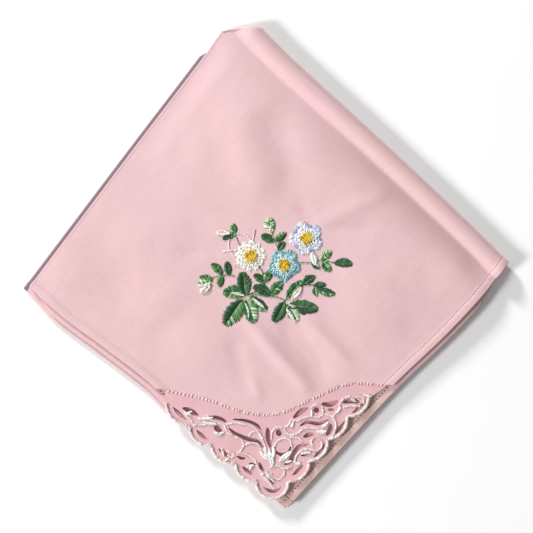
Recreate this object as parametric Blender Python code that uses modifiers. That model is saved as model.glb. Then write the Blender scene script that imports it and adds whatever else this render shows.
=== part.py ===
"""A linen handkerchief folded in quarters, with a scalloped lace corner.

The cloth is one hemmed square.  It is folded in half, and in half again, so that
four layers lie on each other.  The first fold runs along the -X side and the
second, a soft roll, along the +Y side.  The hems lie open along -Y and +X, and
the lace is sewn into the corner of the top layer where those two sides meet.

Lengths in the tables are in millimetres, and are made metres when a point is placed.
"""

import math

import bmesh
import bpy

MM = 0.001

# The tables place every side from a point on the cloth near the middle.  The
# model is then moved by this much, so that its box stands on z = 0 over the origin.
CENTRING = (-0.408, 0.187)
SHEET = 1.0
LAYER_PITCH = 1.5
BOTTOM_LEVEL = SHEET / 2
THIRD_LEVEL = BOTTOM_LEVEL + LAYER_PITCH
SECOND_LEVEL = THIRD_LEVEL + LAYER_PITCH
TOP_LEVEL = SECOND_LEVEL + LAYER_PITCH
SEWN_GAP = 0.32

# The sides of the top layer: share of the side's length, place across it.
# The roll's outline along +Y, read from the folded corner.
ROLL_SIDE = ((0.00, 67.0), (0.085, 76.0), (0.17, 75.0), (0.50, 73.9), (0.80, 72.1), (1.00, 70.2))
# The top layer's hem along -Y, read from the fold.
FRONT_SIDE = ((0.00, -72.3), (0.14, -72.6), (0.26, -71.2), (0.45, -69.5), (0.55, -70.3), (1.00, -68.3))
# The fold along -X, read from the roll.
FOLD_SIDE = ((0.00, -78.2), (0.50, -74.9), (1.00, -69.7))
# The top layer's hem along +X, read from the roll.
OPEN_SIDE = ((0.00, 77.4), (0.12, 78.3), (0.30, 77.6), (0.52, 74.9), (0.75, 73.8), (1.00, 73.0))

# How far each layer stands out past the top one.  Columns: front hem beside the
# fold, front hem elsewhere, open hem beside the roll, open hem elsewhere.
TOP_LAYER = (0.0, 0.0, 0.0, 0.0)
SECOND_LAYER = (0.0, 2.6, 0.8, 2.3)
THIRD_LAYER = (2.5, 4.0, 0.8, 1.7)
BOTTOM_LAYER = (2.5, 3.2, 0.0, 1.0)
HEM_SPREAD = 0.12
LOWER_FOLD_STANDOUT = 1.3

# The roll in section.  A half ellipse turns the cloth over, from its nose to its
# crest, and the top of each path then falls to a valley, rises to a low shoulder
# and levels out.  Columns: distance in from the roll's outline, height of the
# sheet's middle.  The first row of each table is the crest.
OUTER_NOSE = 0.5
INNER_NOSE = 3.2
VALLEY_RUN = 10.2
OUTER_TOP = ((4.3, 6.8), (VALLEY_RUN, TOP_LEVEL), (19.0, 5.7), (48.0, TOP_LEVEL), (160.0, TOP_LEVEL))
INNER_TOP = ((5.9, 4.5), (VALLEY_RUN, SECOND_LEVEL), (19.0, 3.9), (48.0, SECOND_LEVEL), (160.0, SECOND_LEVEL))
FRONT_RUN = 146.0
OPEN_RUN = 154.0

# Soft raised places in the top layer.  Columns: x, y, reach, height.
PUFFS = (
    (-62.0, -58.0, 22.0, 0.9),
    (-52.0, 18.0, 26.0, 0.7),
    (-12.0, 34.0, 30.0, 0.5),
    (38.0, 36.0, 30.0, 0.9),
    (70.0, 58.0, 16.0, 1.0),
    (-20.0, -40.0, 24.0, 0.5),
)

# The seam where the lace is sewn on, from the front hem to the open hem: x, y.
SEAM = (
    (2.6, -67.6),
    (19.9, -58.3),
    (34.5, -52.5),
    (45.7, -43.4),
    (52.8, -28.7),
    (60.0, -14.4),
    (73.0, -3.6),
)
SEAM_STEPS = 5
# The cut along the seam runs on past both hems, at about the seam's own slope.
CUT_OVERRUN = 20.0
CUT_SLOPE = 0.65

# The lace's outer edge.  Columns: x and y of a dip, and how far the scallop from
# there to the next dip stands out.
SCALLOPS = (
    (6.6, -72.0, 2.6),
    (20.8, -72.9, 2.7),
    (33.2, -73.1, 2.7),
    (45.8, -71.9, 2.6),
    (57.4, -71.8, 7.6),
    (68.6, -62.5, 2.7),
    (69.6, -50.0, 2.6),
    (69.4, -37.8, 2.7),
    (69.4, -25.0, 2.5),
    (70.8, -12.6, 0.0),
)
SCALLOP_STEPS = 6

# Where the flat square has its rows and columns: closer together at the folds.
TURN_STEPS = 5
ROWS_PAST_CREST = (1.3, 2.7, 4.1, 5.5, 7.2, 9.6, 12.6, 16.5, 22.0, 29.0, 38.0, 49.0, 62.0, 76.0, 90.0,
                   104.0, 117.0, 128.0, 136.0)
BEND_STEPS = 4
COLUMNS_FROM_FOLD = (2.2, 4.4, 7.5, 12.0, 18.0, 25.0, 34.0, 44.0, 56.0, 69.0, 82.0, 95.0, 108.0, 120.0,
                     131.0, 141.0, 148.0)

CLOTH_COLOUR = (0.82, 0.56, 0.58, 1.0)
LACE_COLOUR = (0.86, 0.66, 0.62, 1.0)


def mix(low, high, share):
    """Blend two numbers."""
    return low + (high - low) * share


def ease(share):
    """Blend share with a level start and end."""
    share = min(max(share, 0.0), 1.0)
    return share * share * (3.0 - 2.0 * share)


def curve_at(rows, place):
    """Smooth curve through (place, value) rows, held level past their ends."""
    places = [row[0] for row in rows]
    last = len(rows) - 2
    index = min(max(sum(place >= stop for stop in places) - 1, 0), last)

    def slope(at):
        before = max(at - 1, 0)
        after = min(at + 1, last + 1)
        return (rows[after][1] - rows[before][1]) / (places[after] - places[before])

    width = places[index + 1] - places[index]
    t = min(max((place - places[index]) / width, 0.0), 1.0)
    start = rows[index][1]
    end = rows[index + 1][1]
    return (
        start * (2 * t**3 - 3 * t**2 + 1)
        + end * (3 * t**2 - 2 * t**3)
        + slope(index) * width * (t**3 - 2 * t**2 + t)
        + slope(index + 1) * width * (t**3 - t**2)
    )


def stepped_height(rows, place):
    """Height that is level at each (place, height) row and eased in between."""
    for (start, low), (end, high) in zip(rows, rows[1:]):
        if place <= end:
            return mix(low, high, ease((place - start) / (end - start)))
    return rows[-1][1]


def puff_height(x, y):
    """Height that the soft raised places give the top layer at a point."""
    raised = 0.0
    for centre_x, centre_y, reach, height in PUFFS:
        distance = math.hypot(x - centre_x, y - centre_y)
        raised += height * ease(1.0 - distance / reach)
    return raised


def seam_points(shift=0.0):
    """Points along the lace seam, moved outwards along both axes by shift."""
    x_rows = [(index, x) for index, (x, y) in enumerate(SEAM)]
    y_rows = [(index, y) for index, (x, y) in enumerate(SEAM)]
    count = (len(SEAM) - 1) * SEAM_STEPS
    points = []
    for step in range(count + 1):
        place = step / SEAM_STEPS
        points.append((curve_at(x_rows, place) + shift, curve_at(y_rows, place) - shift))
    return points


def scallop_arc(start, end, standout):
    """Points of the arc from one dip to the next, without the last."""
    if standout <= 0.0:
        return [start]
    chord_x = end[0] - start[0]
    chord_y = end[1] - start[1]
    chord = math.hypot(chord_x, chord_y)
    radius = (chord * chord / 4 + standout * standout) / (2 * standout)
    half_angle = math.asin(min(chord / 2 / radius, 1.0))
    if standout > radius:
        half_angle = math.pi - half_angle
    out_x = chord_y / chord
    out_y = -chord_x / chord
    centre_x = (start[0] + end[0]) / 2 + out_x * (standout - radius)
    centre_y = (start[1] + end[1]) / 2 + out_y * (standout - radius)
    points = []
    for step in range(SCALLOP_STEPS):
        angle = mix(-half_angle, half_angle, step / SCALLOP_STEPS)
        along = math.sin(angle) * radius
        out = math.cos(angle) * radius
        points.append((
            centre_x + chord_x / chord * along + out_x * out,
            centre_y + chord_y / chord * along + out_y * out,
        ))
    return points


def lace_outline():
    """The lace corner's outline: the seam's edge, then the scallops back to its start."""
    outline = list(reversed(seam_points(SEWN_GAP)))
    for (x, y, standout), (next_x, next_y, unused) in zip(SCALLOPS, SCALLOPS[1:]):
        outline.extend(scallop_arc((x, y), (next_x, next_y), standout))
    outline.append(SCALLOPS[-1][:2])
    return outline


def row_stations():
    """One half of the fold's section, from the nose of the roll to the hem.

    Each row holds the turn's share from nose to crest, and the distance past the crest.
    """
    turn = [(step / TURN_STEPS, 0.0) for step in range(TURN_STEPS + 1)]
    return turn + [(1.0, run) for run in ROWS_PAST_CREST] + [(1.0, FRONT_RUN - OUTER_TOP[0][0])]


def column_stations():
    """Half of the columns, from the middle of the first fold to the open hem.

    Each holds the column's angle round the fold, and its distance in past the bend.
    """
    bend = [(math.pi / 2 * step / BEND_STEPS, 0.0) for step in range(BEND_STEPS + 1)]
    return bend + [(math.pi / 2, run) for run in COLUMNS_FROM_FOLD] + [(math.pi / 2, OPEN_RUN)]


def path_point(nose, top, bottom, row, upper):
    """Distance in from the roll's outline, and height, of one path at a row."""
    crest_run, crest_height = top[0]
    share, past_crest = row
    if share < 1.0:
        angle = math.pi / 2 * share
        run = crest_run - (crest_run - nose) * math.cos(angle)
        middle = (crest_height + bottom) / 2
        rise = (crest_height - bottom) / 2 * math.sin(angle)
        return run, middle + rise if upper else middle - rise
    outer_crest = OUTER_TOP[0][0]
    lag = (crest_run - outer_crest) * (1.0 - ease(past_crest / (VALLEY_RUN - outer_crest)))
    run = outer_crest + past_crest + lag
    return run, stepped_height(top, run) if upper else bottom


def layer_blend(values, turned, upper_share):
    """Blend the top, second, third and bottom layers' values round the two folds."""
    top, second, third, bottom = values
    outer_share = (1.0 + turned) / 2
    return mix(mix(third, bottom, outer_share), mix(second, top, outer_share), upper_share)


def hem_standouts(layer, across, down):
    """How far one layer's front hem and open hem stand out at a place on it."""
    front_beside, front_elsewhere, open_beside, open_elsewhere = layer
    return (
        mix(front_beside, front_elsewhere, ease(across / HEM_SPREAD)),
        mix(open_beside, open_elsewhere, ease(down / HEM_SPREAD)),
    )


def folded_point(column, outer, row, upper):
    """Where the folding takes one corner of the flat square's grid."""
    angle, past_bend = column
    turned = math.sin(angle) if outer else -math.sin(angle)
    outer_run, outer_height = path_point(OUTER_NOSE, OUTER_TOP, BOTTOM_LEVEL, row, upper)
    inner_run, inner_height = path_point(INNER_NOSE, INNER_TOP, THIRD_LEVEL, row, upper)
    run = mix(inner_run, outer_run, (1.0 + turned) / 2)
    height = mix(inner_height, outer_height, (1.0 + turned) / 2)

    bend_radius = math.hypot(outer_run - inner_run, outer_height - inner_height) / 2
    bend_in = bend_radius * (1.0 - math.cos(angle))
    across = past_bend / OPEN_RUN
    down = run / FRONT_RUN
    upper_share = (1.0 + (row[0] if upper else -row[0])) / 2
    layers = (TOP_LAYER, SECOND_LAYER, THIRD_LAYER, BOTTOM_LAYER)
    standouts = [hem_standouts(layer, across, down) for layer in layers]
    front_out = layer_blend([front for front, opened in standouts], turned, upper_share)
    open_out = layer_blend([opened for front, opened in standouts], turned, upper_share)

    fold_x = curve_at(FOLD_SIDE, down) - LOWER_FOLD_STANDOUT * (1.0 - upper_share)
    open_x = curve_at(OPEN_SIDE, down) + open_out
    roll_y = curve_at(ROLL_SIDE, across)
    front_y = curve_at(FRONT_SIDE, across) - front_out
    x = mix(fold_x, open_x, max(across, bend_in / OPEN_RUN))
    y = mix(roll_y, front_y, down)
    if upper and outer:
        height += puff_height(x, y) * turned * ease((run - VALLEY_RUN) / VALLEY_RUN)
    return x * MM, y * MM, height * MM


def fabric(name, colour, roughness):
    """A cloth-like finish."""
    material = bpy.data.materials.new(name)
    material.use_nodes = True
    shader = material.node_tree.nodes["Principled BSDF"]
    shader.inputs["Base Color"].default_value = colour
    shader.inputs["Roughness"].default_value = roughness
    shader.inputs["Metallic"].default_value = 0.0
    material.diffuse_color = colour
    return material


def flat_slab(name, outline, low, high, collection):
    """A mesh slab of a flat outline between two heights."""
    curve = bpy.data.curves.new(name, "CURVE")
    curve.dimensions = "2D"
    curve.fill_mode = "BOTH"
    curve.extrude = (high - low) / 2 * MM
    spline = curve.splines.new("POLY")
    spline.points.add(len(outline) - 1)
    for point, (x, y) in zip(spline.points, outline):
        point.co = (x * MM, y * MM, 0.0, 1.0)
    spline.use_cyclic_u = True
    guide = bpy.data.objects.new(name + "_outline", curve)
    guide.location.z = (low + high) / 2 * MM
    collection.objects.link(guide)

    depsgraph = bpy.context.evaluated_depsgraph_get()
    mesh = bpy.data.meshes.new_from_object(guide.evaluated_get(depsgraph))
    slab = bmesh.new()
    slab.from_mesh(mesh)
    bmesh.ops.remove_doubles(slab, verts=slab.verts, dist=0.0001 * MM)
    bmesh.ops.recalc_face_normals(slab, faces=slab.faces)
    slab.to_mesh(mesh)
    slab.free()

    piece = bpy.data.objects.new(name, mesh)
    piece.location = guide.location
    collection.objects.link(piece)
    bpy.data.objects.remove(guide)
    return piece


def folded_cloth(collection):
    """The hemmed square, folded in quarters, as one sheet."""
    rows = row_stations()
    columns = column_stations()
    flat = bmesh.new()
    bmesh.ops.create_grid(
        flat,
        x_segments=2 * (len(columns) - 1),
        y_segments=2 * (len(rows) - 1),
        size=1.0,
    )
    for vert in flat.verts:
        column = round(abs(vert.co.x) * (len(columns) - 1))
        row = round(abs(vert.co.y) * (len(rows) - 1))
        vert.co = folded_point(columns[column], vert.co.x >= 0.0, rows[row], vert.co.y >= 0.0)
    bmesh.ops.recalc_face_normals(flat, faces=flat.faces)
    mesh = bpy.data.meshes.new("handkerchief_cloth")
    flat.to_mesh(mesh)
    flat.free()
    mesh.shade_smooth()

    cloth = bpy.data.objects.new("handkerchief_cloth", mesh)
    collection.objects.link(cloth)
    thickness = cloth.modifiers.new("cloth thickness", "SOLIDIFY")
    thickness.thickness = SHEET * MM
    thickness.offset = 0.0
    thickness.use_quality_normals = True
    cloth.data.materials.append(fabric("pink linen", CLOTH_COLOUR, 0.85))
    return cloth


def cut_top_corner(cloth, cutters):
    """Cut the top layer's corner away along the lace seam."""
    seam = seam_points()
    start_x, start_y = seam[0]
    end_x, end_y = seam[-1]
    outline = [(start_x - CUT_OVERRUN, start_y - CUT_OVERRUN * CUT_SLOPE)] + seam
    outline += [(end_x + CUT_OVERRUN, end_y + CUT_OVERRUN * CUT_SLOPE)]
    outline += [(end_x + CUT_OVERRUN, start_y - CUT_OVERRUN), (start_x - CUT_OVERRUN, start_y - CUT_OVERRUN)]
    gap_middle = TOP_LEVEL - LAYER_PITCH / 2
    cutter = flat_slab("lace_corner_cut", outline, gap_middle, 2 * TOP_LEVEL, cutters)
    cutter.display_type = "WIRE"
    cutter.hide_render = True
    cut = cloth.modifiers.new("lace corner cut", "BOOLEAN")
    cut.operation = "DIFFERENCE"
    cut.solver = "EXACT"
    cut.object = cutter
    return cutter


def lace_corner(collection):
    """The lace that is sewn to the top layer, a flat scalloped piece."""
    low = TOP_LEVEL - SHEET / 2
    lace = flat_slab("lace_corner", lace_outline(), low, low + SHEET, collection)
    lace.data.materials.append(fabric("pink lace", LACE_COLOUR, 0.8))
    return lace


def stand_over_origin(objects, collection):
    """Hang the objects on one empty that brings the whole box over the origin."""
    middle = bpy.data.objects.new("handkerchief_middle", None)
    middle.location = (CENTRING[0] * MM, CENTRING[1] * MM, 0.0)
    collection.objects.link(middle)
    for item in objects:
        item.parent = middle


def make_collection(name):
    """A new collection in the scene."""
    collection = bpy.data.collections.new(name)
    bpy.context.scene.collection.children.link(collection)
    return collection


def main():
    for item in list(bpy.data.objects):
        bpy.data.objects.remove(item, do_unlink=True)
    pieces = make_collection("linen handkerchief")
    cutters = make_collection("cutters")
    cloth = folded_cloth(pieces)
    cutter = cut_top_corner(cloth, cutters)
    lace = lace_corner(pieces)
    stand_over_origin((cloth, cutter, lace), pieces)


main()
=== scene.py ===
"""Looks of a linen handkerchief folded in quarters, with an embroidered spray and a lace corner.

The file is laid out as an add-on: property groups hold the sizes and colours, one
operator makes each piece or group of like pieces, and a panel lists them.  Tables
are in millimetres, and become metres when a point is placed.
"""
import math
import random

import bmesh
import bpy
from bpy.props import FloatProperty, FloatVectorProperty, PointerProperty
from mathutils import Matrix, Vector, noise
from mathutils.bvhtree import BVHTree


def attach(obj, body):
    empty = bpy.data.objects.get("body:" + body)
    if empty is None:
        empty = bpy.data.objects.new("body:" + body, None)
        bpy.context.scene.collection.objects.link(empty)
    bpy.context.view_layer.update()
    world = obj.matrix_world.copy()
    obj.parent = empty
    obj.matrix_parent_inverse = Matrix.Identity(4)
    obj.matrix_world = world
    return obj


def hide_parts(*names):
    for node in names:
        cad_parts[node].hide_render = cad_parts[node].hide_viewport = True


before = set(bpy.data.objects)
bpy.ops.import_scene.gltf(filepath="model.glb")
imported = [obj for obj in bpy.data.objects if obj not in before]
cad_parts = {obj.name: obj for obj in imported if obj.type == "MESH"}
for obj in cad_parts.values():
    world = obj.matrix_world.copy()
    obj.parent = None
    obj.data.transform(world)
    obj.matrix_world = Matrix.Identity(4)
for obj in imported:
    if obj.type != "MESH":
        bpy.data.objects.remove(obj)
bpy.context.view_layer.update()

bl_info = {
    "name": "Folded linen handkerchief",
    "version": (1, 0, 0),
    "blender": (4, 5, 0),
    "location": "3D View > Sidebar > Handkerchief",
    "description": "Makes the cloth, embroidery and lace of a folded handkerchief",
    "category": "Add Mesh",
}

MM = 0.001
CAD_CLOTH = "handkerchief_cloth"
CAD_LACE = "lace_corner"

# ---------------------------------------------------------------------------
# The fold, close to the solid model's, in thinner cloth
# ---------------------------------------------------------------------------

# Moves the fold's own middle to the middle of its box.
CENTRING = Vector((-0.408, 0.187, 0.0))
# How far the view is turned from the cloth's own sides.
VIEW_TURN = math.radians(41.0)
# Heights of the layers' middles.
LAYER_PITCH = 1.35
BOTTOM_LEVEL = 0.47
THIRD_LEVEL = BOTTOM_LEVEL + LAYER_PITCH
SECOND_LEVEL = THIRD_LEVEL + LAYER_PITCH
TOP_LEVEL = SECOND_LEVEL + LAYER_PITCH

# The outline's four sides.  Columns: share of the way along, place of the side.
ROLL_SIDE = ((0.00, 76.9), (0.08, 76.4), (0.17, 75.3), (0.50, 73.9), (0.80, 72.1), (1.00, 70.2))
FRONT_SIDE = ((0.00, -72.3), (0.14, -72.6), (0.26, -71.2), (0.45, -69.5), (0.55, -70.3), (1.00, -68.3))
FOLD_SIDE = ((0.00, -79.6), (0.09, -79.4), (0.17, -78.1), (0.50, -74.9), (1.00, -69.7))
OPEN_SIDE = ((0.00, 77.4), (0.12, 78.3), (0.30, 77.6), (0.52, 74.9), (0.75, 73.8), (1.00, 73.0))

# How far each layer's hems stand out past the top layer's.  Columns: front hem
# beside the fold, front hem elsewhere, open hem beside the roll, open hem elsewhere.
TOP_LAYER = (0.0, 0.0, 0.0, 0.0)
SECOND_LAYER = (0.0, 2.6, 0.2, 2.3)
THIRD_LAYER = (2.5, 4.0, 0.1, 1.7)
BOTTOM_LAYER = (2.5, 3.2, -0.3, 1.0)
# Share of a side over which a hem's standout changes, and where the open hem's starts.
HEM_SPREAD = 0.12
OPEN_HEM_START = 0.06
# How far the lower layers' fold stands out, where that starts, and how soon.
LOWER_FOLD_STANDOUT = 1.8
LOWER_FOLD_START = 0.152
LOWER_FOLD_STEP = 0.009
# Where the roll's corner is folded away beside the first fold: its outline at
# the fold, its slope, how closely the rows crowd together behind it, and how far
# the lower layers are tucked in under it.
CORNER_OUTLINE = 64.9
CORNER_SLOPE = 157.0
CORNER_CROWDING = 0.14
CORNER_TUCK = 1.2

# The roll in section, for the outer and the inner of the two paths round it:
# where its nose and its crest are, in from the outline, and the crest's height.
# Past the crest each path drops into a sharp valley and swells up again beyond it.
OUTER_ROLL = (0.5, 5.6, 6.75)
INNER_ROLL = (3.2, 6.6, 4.35)
VALLEY_RUN = 9.8
VALLEY_DEPTH = 0.25
# The swell past the valley.  Columns: place along the roll, rise, how soon it
# is reached, how far it carries.
SWELLS = (
    (0.0, 1.2, 12.0, 46.0),
    (0.25, 3.0, 13.0, 50.0),
    (0.5, 2.8, 10.0, 48.0),
    (0.75, 2.4, 6.5, 44.0),
    (1.0, 1.7, 6.0, 40.0),
)
INNER_SWELL = 0.45
# Beside the first fold the roll is pressed flat: how far along, and the height left.
CORNER_SHARE = 0.075
CORNER_RISE = 0.25
FRONT_RUN = 146.0
OPEN_RUN = 154.0
FRONT_PAST = FRONT_RUN - OUTER_ROLL[1]

# Soft raised places in the top layer.  Columns: x, y, reach, height.
PUFFS = (
    (-62.0, -58.0, 22.0, 0.9),
    (-52.0, 18.0, 26.0, 0.7),
    (-22.0, 34.0, 26.0, 0.7),
    (44.0, 22.0, 30.0, 0.9),
    (66.0, 52.0, 18.0, 0.6),
    (-20.0, -40.0, 24.0, 0.6),
    (2.0, -44.0, 20.0, 0.7),
    (-44.0, -20.0, 22.0, 0.5),
    (-50.0, 58.0, 18.0, 0.4),
)

SEAM = (
    (2.6, -67.6),
    (19.9, -58.3),
    (34.5, -52.5),
    (45.7, -43.4),
    (52.8, -28.7),
    (60.0, -14.4),
    (73.0, -3.6),
)
SEAM_GAP = 0.02
# The slab that cuts the corner away: how far it runs past the cloth, the slope of
# its ends, how far below the top layer it starts, and its height.
CUT_OVERRUN = 20.0
CUT_SLOPE = 0.65
CUT_BELOW = 0.62
CUT_HEIGHT = 8.0

# Columns: x and y of a dip in the lace's edge, and how far the next scallop stands out.
SCALLOPS = (
    (6.6, -72.0, 2.6),
    (20.8, -72.9, 2.7),
    (33.2, -73.1, 2.7),
    (45.8, -71.9, 2.6),
    (57.4, -71.8, 7.6),
    (68.6, -62.5, 2.7),
    (69.6, -50.0, 2.6),
    (69.4, -37.8, 2.7),
    (69.4, -25.0, 2.5),
    (70.8, -12.6, 0.0),
)

# Creases of the top layer.  Columns: x and y where it starts, x and y where it
# ends, half width, height (a trough is negative).
CREASES = (
    (11.8, -22.5, 51.1, -27.4, 3.0, 1.30),
    (21.6, -12.3, 51.4, -18.0, 4.0, -1.15),
    (28.7, -5.5, 55.5, -7.1, 2.2, 0.70),
    (25.5, -38.3, 36.3, -43.6, 1.8, 0.35),
    (32.1, 0.3, 52.8, 1.2, 2.6, -0.35),
    (7.7, -30.1, 28.9, -45.5, 3.6, -0.35),
    (-7.0, 29.0, 5.7, 28.1, 3.0, -0.45),
    (8.1, 28.5, 24.1, 41.3, 2.6, -0.40),
    (7.1, 31.6, 19.4, 60.4, 3.2, 0.40),
    (26.0, 22.0, 52.0, 30.0, 3.4, 0.35),
    (-31.2, -19.2, -18.2, -6.8, 3.0, -0.25),
    (-41.0, 51.9, -8.5, 32.7, 8.0, -1.00),
    (-53.2, 42.5, -19.6, 20.8, 8.0, 0.80),
    (36.7, 13.2, 61.2, 17.6, 5.0, 0.35),
    (-11.6, -28.7, -15.1, -57.2, 5.0, -0.25),
)


# Shares of a crease's length: how far it runs on past its ends, and its taper.
CREASE_OVERRUN = 0.2
CREASE_TAPER = 0.5
# Slight unevenness of the top layer.  Columns: height, reach, seed.
UNEVENNESS = ((0.28, 24.0, 3.1), (0.09, 7.0, 8.4))
# How far the top layer may sink before it would meet the second.
DEEPEST_TROUGH = -0.76


def mix(low, high, share):
    """Blend two numbers or two vectors."""
    return low + (high - low) * share


def ease(share):
    """Blend share with a level start and end."""
    share = min(max(share, 0.0), 1.0)
    return share * share * (3.0 - 2.0 * share)


def curve_at(rows, place):
    """Smooth curve through (place, value) rows, held level past their ends."""
    places = [row[0] for row in rows]
    last = len(rows) - 2
    index = min(max(sum(place >= stop for stop in places) - 1, 0), last)

    def slope(at):
        before = max(at - 1, 0)
        after = min(at + 1, last + 1)
        return (rows[after][1] - rows[before][1]) / (places[after] - places[before])

    width = places[index + 1] - places[index]
    t = min(max((place - places[index]) / width, 0.0), 1.0)
    start = rows[index][1]
    end = rows[index + 1][1]
    return (
        start * (2 * t**3 - 3 * t**2 + 1)
        + end * (3 * t**2 - 2 * t**3)
        + slope(index) * width * (t**3 - 2 * t**2 + t)
        + slope(index + 1) * width * (t**3 - t**2)
    )


def smooth_path(points, steps):
    """Points along a smooth curve through the given ones."""
    axes = []
    for axis in range(len(points[0])):
        axes.append([(index, point[axis]) for index, point in enumerate(points)])
    count = (len(points) - 1) * steps
    return [Vector([curve_at(rows, step / steps) for rows in axes]) for step in range(count + 1)]


SEAM_POINTS = smooth_path(SEAM, 5)
# Distance from the seam within which the relief dies away.
SEAM_STILL = 6.0


def past_crest_height(crest_run, crest_height, level, run, across, share):
    """Height of a path's top between the roll's crest and the far hem.

    share is how much of the outer path's swell it takes.
    """
    valley = level - VALLEY_DEPTH * share
    if run <= VALLEY_RUN:
        fall = (run - crest_run) / (VALLEY_RUN - crest_run)
        return valley + (crest_height - valley) * math.cos(math.pi / 2 * max(fall, 0.0))
    past = run - VALLEY_RUN
    rise, soon, carry = [
        curve_at([(row[0], row[index]) for row in SWELLS], across) for index in (1, 2, 3)
    ]
    swell = rise * (1.0 - math.exp(-past / soon)) * math.exp(-((past / carry) ** 2))
    return level - VALLEY_DEPTH * share * math.exp(-past / soon) + swell * share


def surface_relief(x, y):
    """Height that puffs, creases and slight unevenness give the top layer."""
    relief = 0.0
    for centre_x, centre_y, reach, height in PUFFS:
        relief += height * ease(1.0 - math.hypot(x - centre_x, y - centre_y) / reach)
    for start_x, start_y, end_x, end_y, half_width, height in CREASES:
        along_x = end_x - start_x
        along_y = end_y - start_y
        length_squared = along_x**2 + along_y**2
        share = ((x - start_x) * along_x + (y - start_y) * along_y) / length_squared
        if not -CREASE_OVERRUN < share < 1.0 + CREASE_OVERRUN:
            continue
        off = abs((x - start_x) * along_y - (y - start_y) * along_x) / math.sqrt(length_squared)
        taper = ease((share + CREASE_OVERRUN) / CREASE_TAPER)
        taper *= ease((1.0 + CREASE_OVERRUN - share) / CREASE_TAPER)
        relief += height * taper * math.exp(-((off / half_width) ** 2))
    for height, reach, seed in UNEVENNESS:
        relief += height * noise.noise(Vector((x / reach, y / reach, seed)))
    return max(relief, DEEPEST_TROUGH) * ease(seam_distance(x, y) / SEAM_STILL)


def seam_distance(x, y):
    """Distance to the nearest point along the lace seam."""
    return min(math.hypot(x - point.x, y - point.y) for point in SEAM_POINTS)


def path_point(roll, level, bottom, row, upper, across, share):
    """Distance in from the roll's outline, and height, of one path at a row."""
    nose, crest_run, full_height = roll
    pressed = ease(across / CORNER_SHARE)
    crest_height = mix(level + CORNER_RISE * share, full_height, pressed)
    turned, past_crest = row
    if turned < 1.0:
        angle = math.pi / 2 * turned
        run = crest_run - (crest_run - nose) * math.cos(angle)
        middle = (crest_height + bottom) / 2
        rise = (crest_height - bottom) / 2 * math.sin(angle)
        return run, middle + rise if upper else middle - rise
    outer_crest = OUTER_ROLL[1]
    lag = (crest_run - outer_crest) * (1.0 - ease(past_crest / (VALLEY_RUN - outer_crest)))
    run = outer_crest + past_crest + lag
    if not upper:
        return run, bottom
    return run, past_crest_height(crest_run, crest_height, level, run, across, share * pressed)


def layer_blend(values, turned, upper_share):
    """Blend the top, second, third and bottom layers' values round the two folds."""
    top, second, third, bottom = values
    outer_share = (1.0 + turned) / 2
    return mix(mix(third, bottom, outer_share), mix(second, top, outer_share), upper_share)


def hem_standouts(layer, across, down):
    """How far one layer's front hem and open hem stand out at a place on it."""
    front_beside, front_elsewhere, open_beside, open_elsewhere = layer
    return (
        mix(front_beside, front_elsewhere, ease(across / HEM_SPREAD)),
        mix(open_beside, open_elsewhere, ease((down - OPEN_HEM_START) / HEM_SPREAD)),
    )


def folded_point(column, outer, row, upper):
    """Where the folding takes a point of the flat square, in metres."""
    angle, past_bend = column
    turned = math.sin(angle) if outer else -math.sin(angle)
    across = past_bend / OPEN_RUN
    outer_run, outer_height = path_point(
        OUTER_ROLL, TOP_LEVEL, BOTTOM_LEVEL, row, upper, across, 1.0
    )
    inner_run, inner_height = path_point(
        INNER_ROLL, SECOND_LEVEL, THIRD_LEVEL, row, upper, across, INNER_SWELL
    )
    run = mix(inner_run, outer_run, (1.0 + turned) / 2)
    height = mix(inner_height, outer_height, (1.0 + turned) / 2)

    bend_radius = math.hypot(outer_run - inner_run, outer_height - inner_height) / 2
    bend_in = bend_radius * (1.0 - math.cos(angle))
    down = run / FRONT_RUN
    upper_share = (1.0 + (row[0] if upper else -row[0])) / 2
    layers = (TOP_LAYER, SECOND_LAYER, THIRD_LAYER, BOTTOM_LAYER)
    standouts = [hem_standouts(layer, across, down) for layer in layers]
    front_out = layer_blend([front for front, opened in standouts], turned, upper_share)
    open_out = layer_blend([opened for front, opened in standouts], turned, upper_share)

    lower_out = LOWER_FOLD_STANDOUT * (1.0 - upper_share)
    lower_out *= ease((down - LOWER_FOLD_START) / LOWER_FOLD_STEP)
    fold_x = curve_at(FOLD_SIDE, down) - lower_out
    open_x = curve_at(OPEN_SIDE, down) + open_out
    roll_y = curve_at(ROLL_SIDE, across)
    front_y = curve_at(FRONT_SIDE, across) - front_out
    x = mix(fold_x, open_x, max(across, bend_in / OPEN_RUN))
    corner_y = CORNER_OUTLINE - CORNER_TUCK * (1.0 - upper_share) + CORNER_SLOPE * across
    y = min(mix(roll_y, front_y, down), corner_y - CORNER_CROWDING * run)
    if upper and outer:
        height += surface_relief(x, y) * turned * ease((run - VALLEY_RUN) / VALLEY_RUN)
    return (Vector((x, y, height)) + CENTRING) * MM


def spaced(stops):
    """Places from the first stop on, with the spacing of each (stop, spacing) row."""
    places = []
    for (start, spacing), (end, unused) in zip(stops, stops[1:]):
        count = max(round((end - start) / spacing), 1)
        places += [mix(start, end, step / count) for step in range(count)]
    return places + [stops[-1][0]]


# ---------------------------------------------------------------------------
# Property groups
# ---------------------------------------------------------------------------


def length(name, description, millimetres):
    """A length property with its default in millimetres."""
    return FloatProperty(name=name, description=description, default=millimetres * MM, min=0.0,
                         precision=5, unit="LENGTH")


def colour(name, description, default):
    """A colour property."""
    return FloatVectorProperty(name=name, description=description, subtype="COLOR", size=3,
                               default=default, min=0.0, max=1.0)


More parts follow.
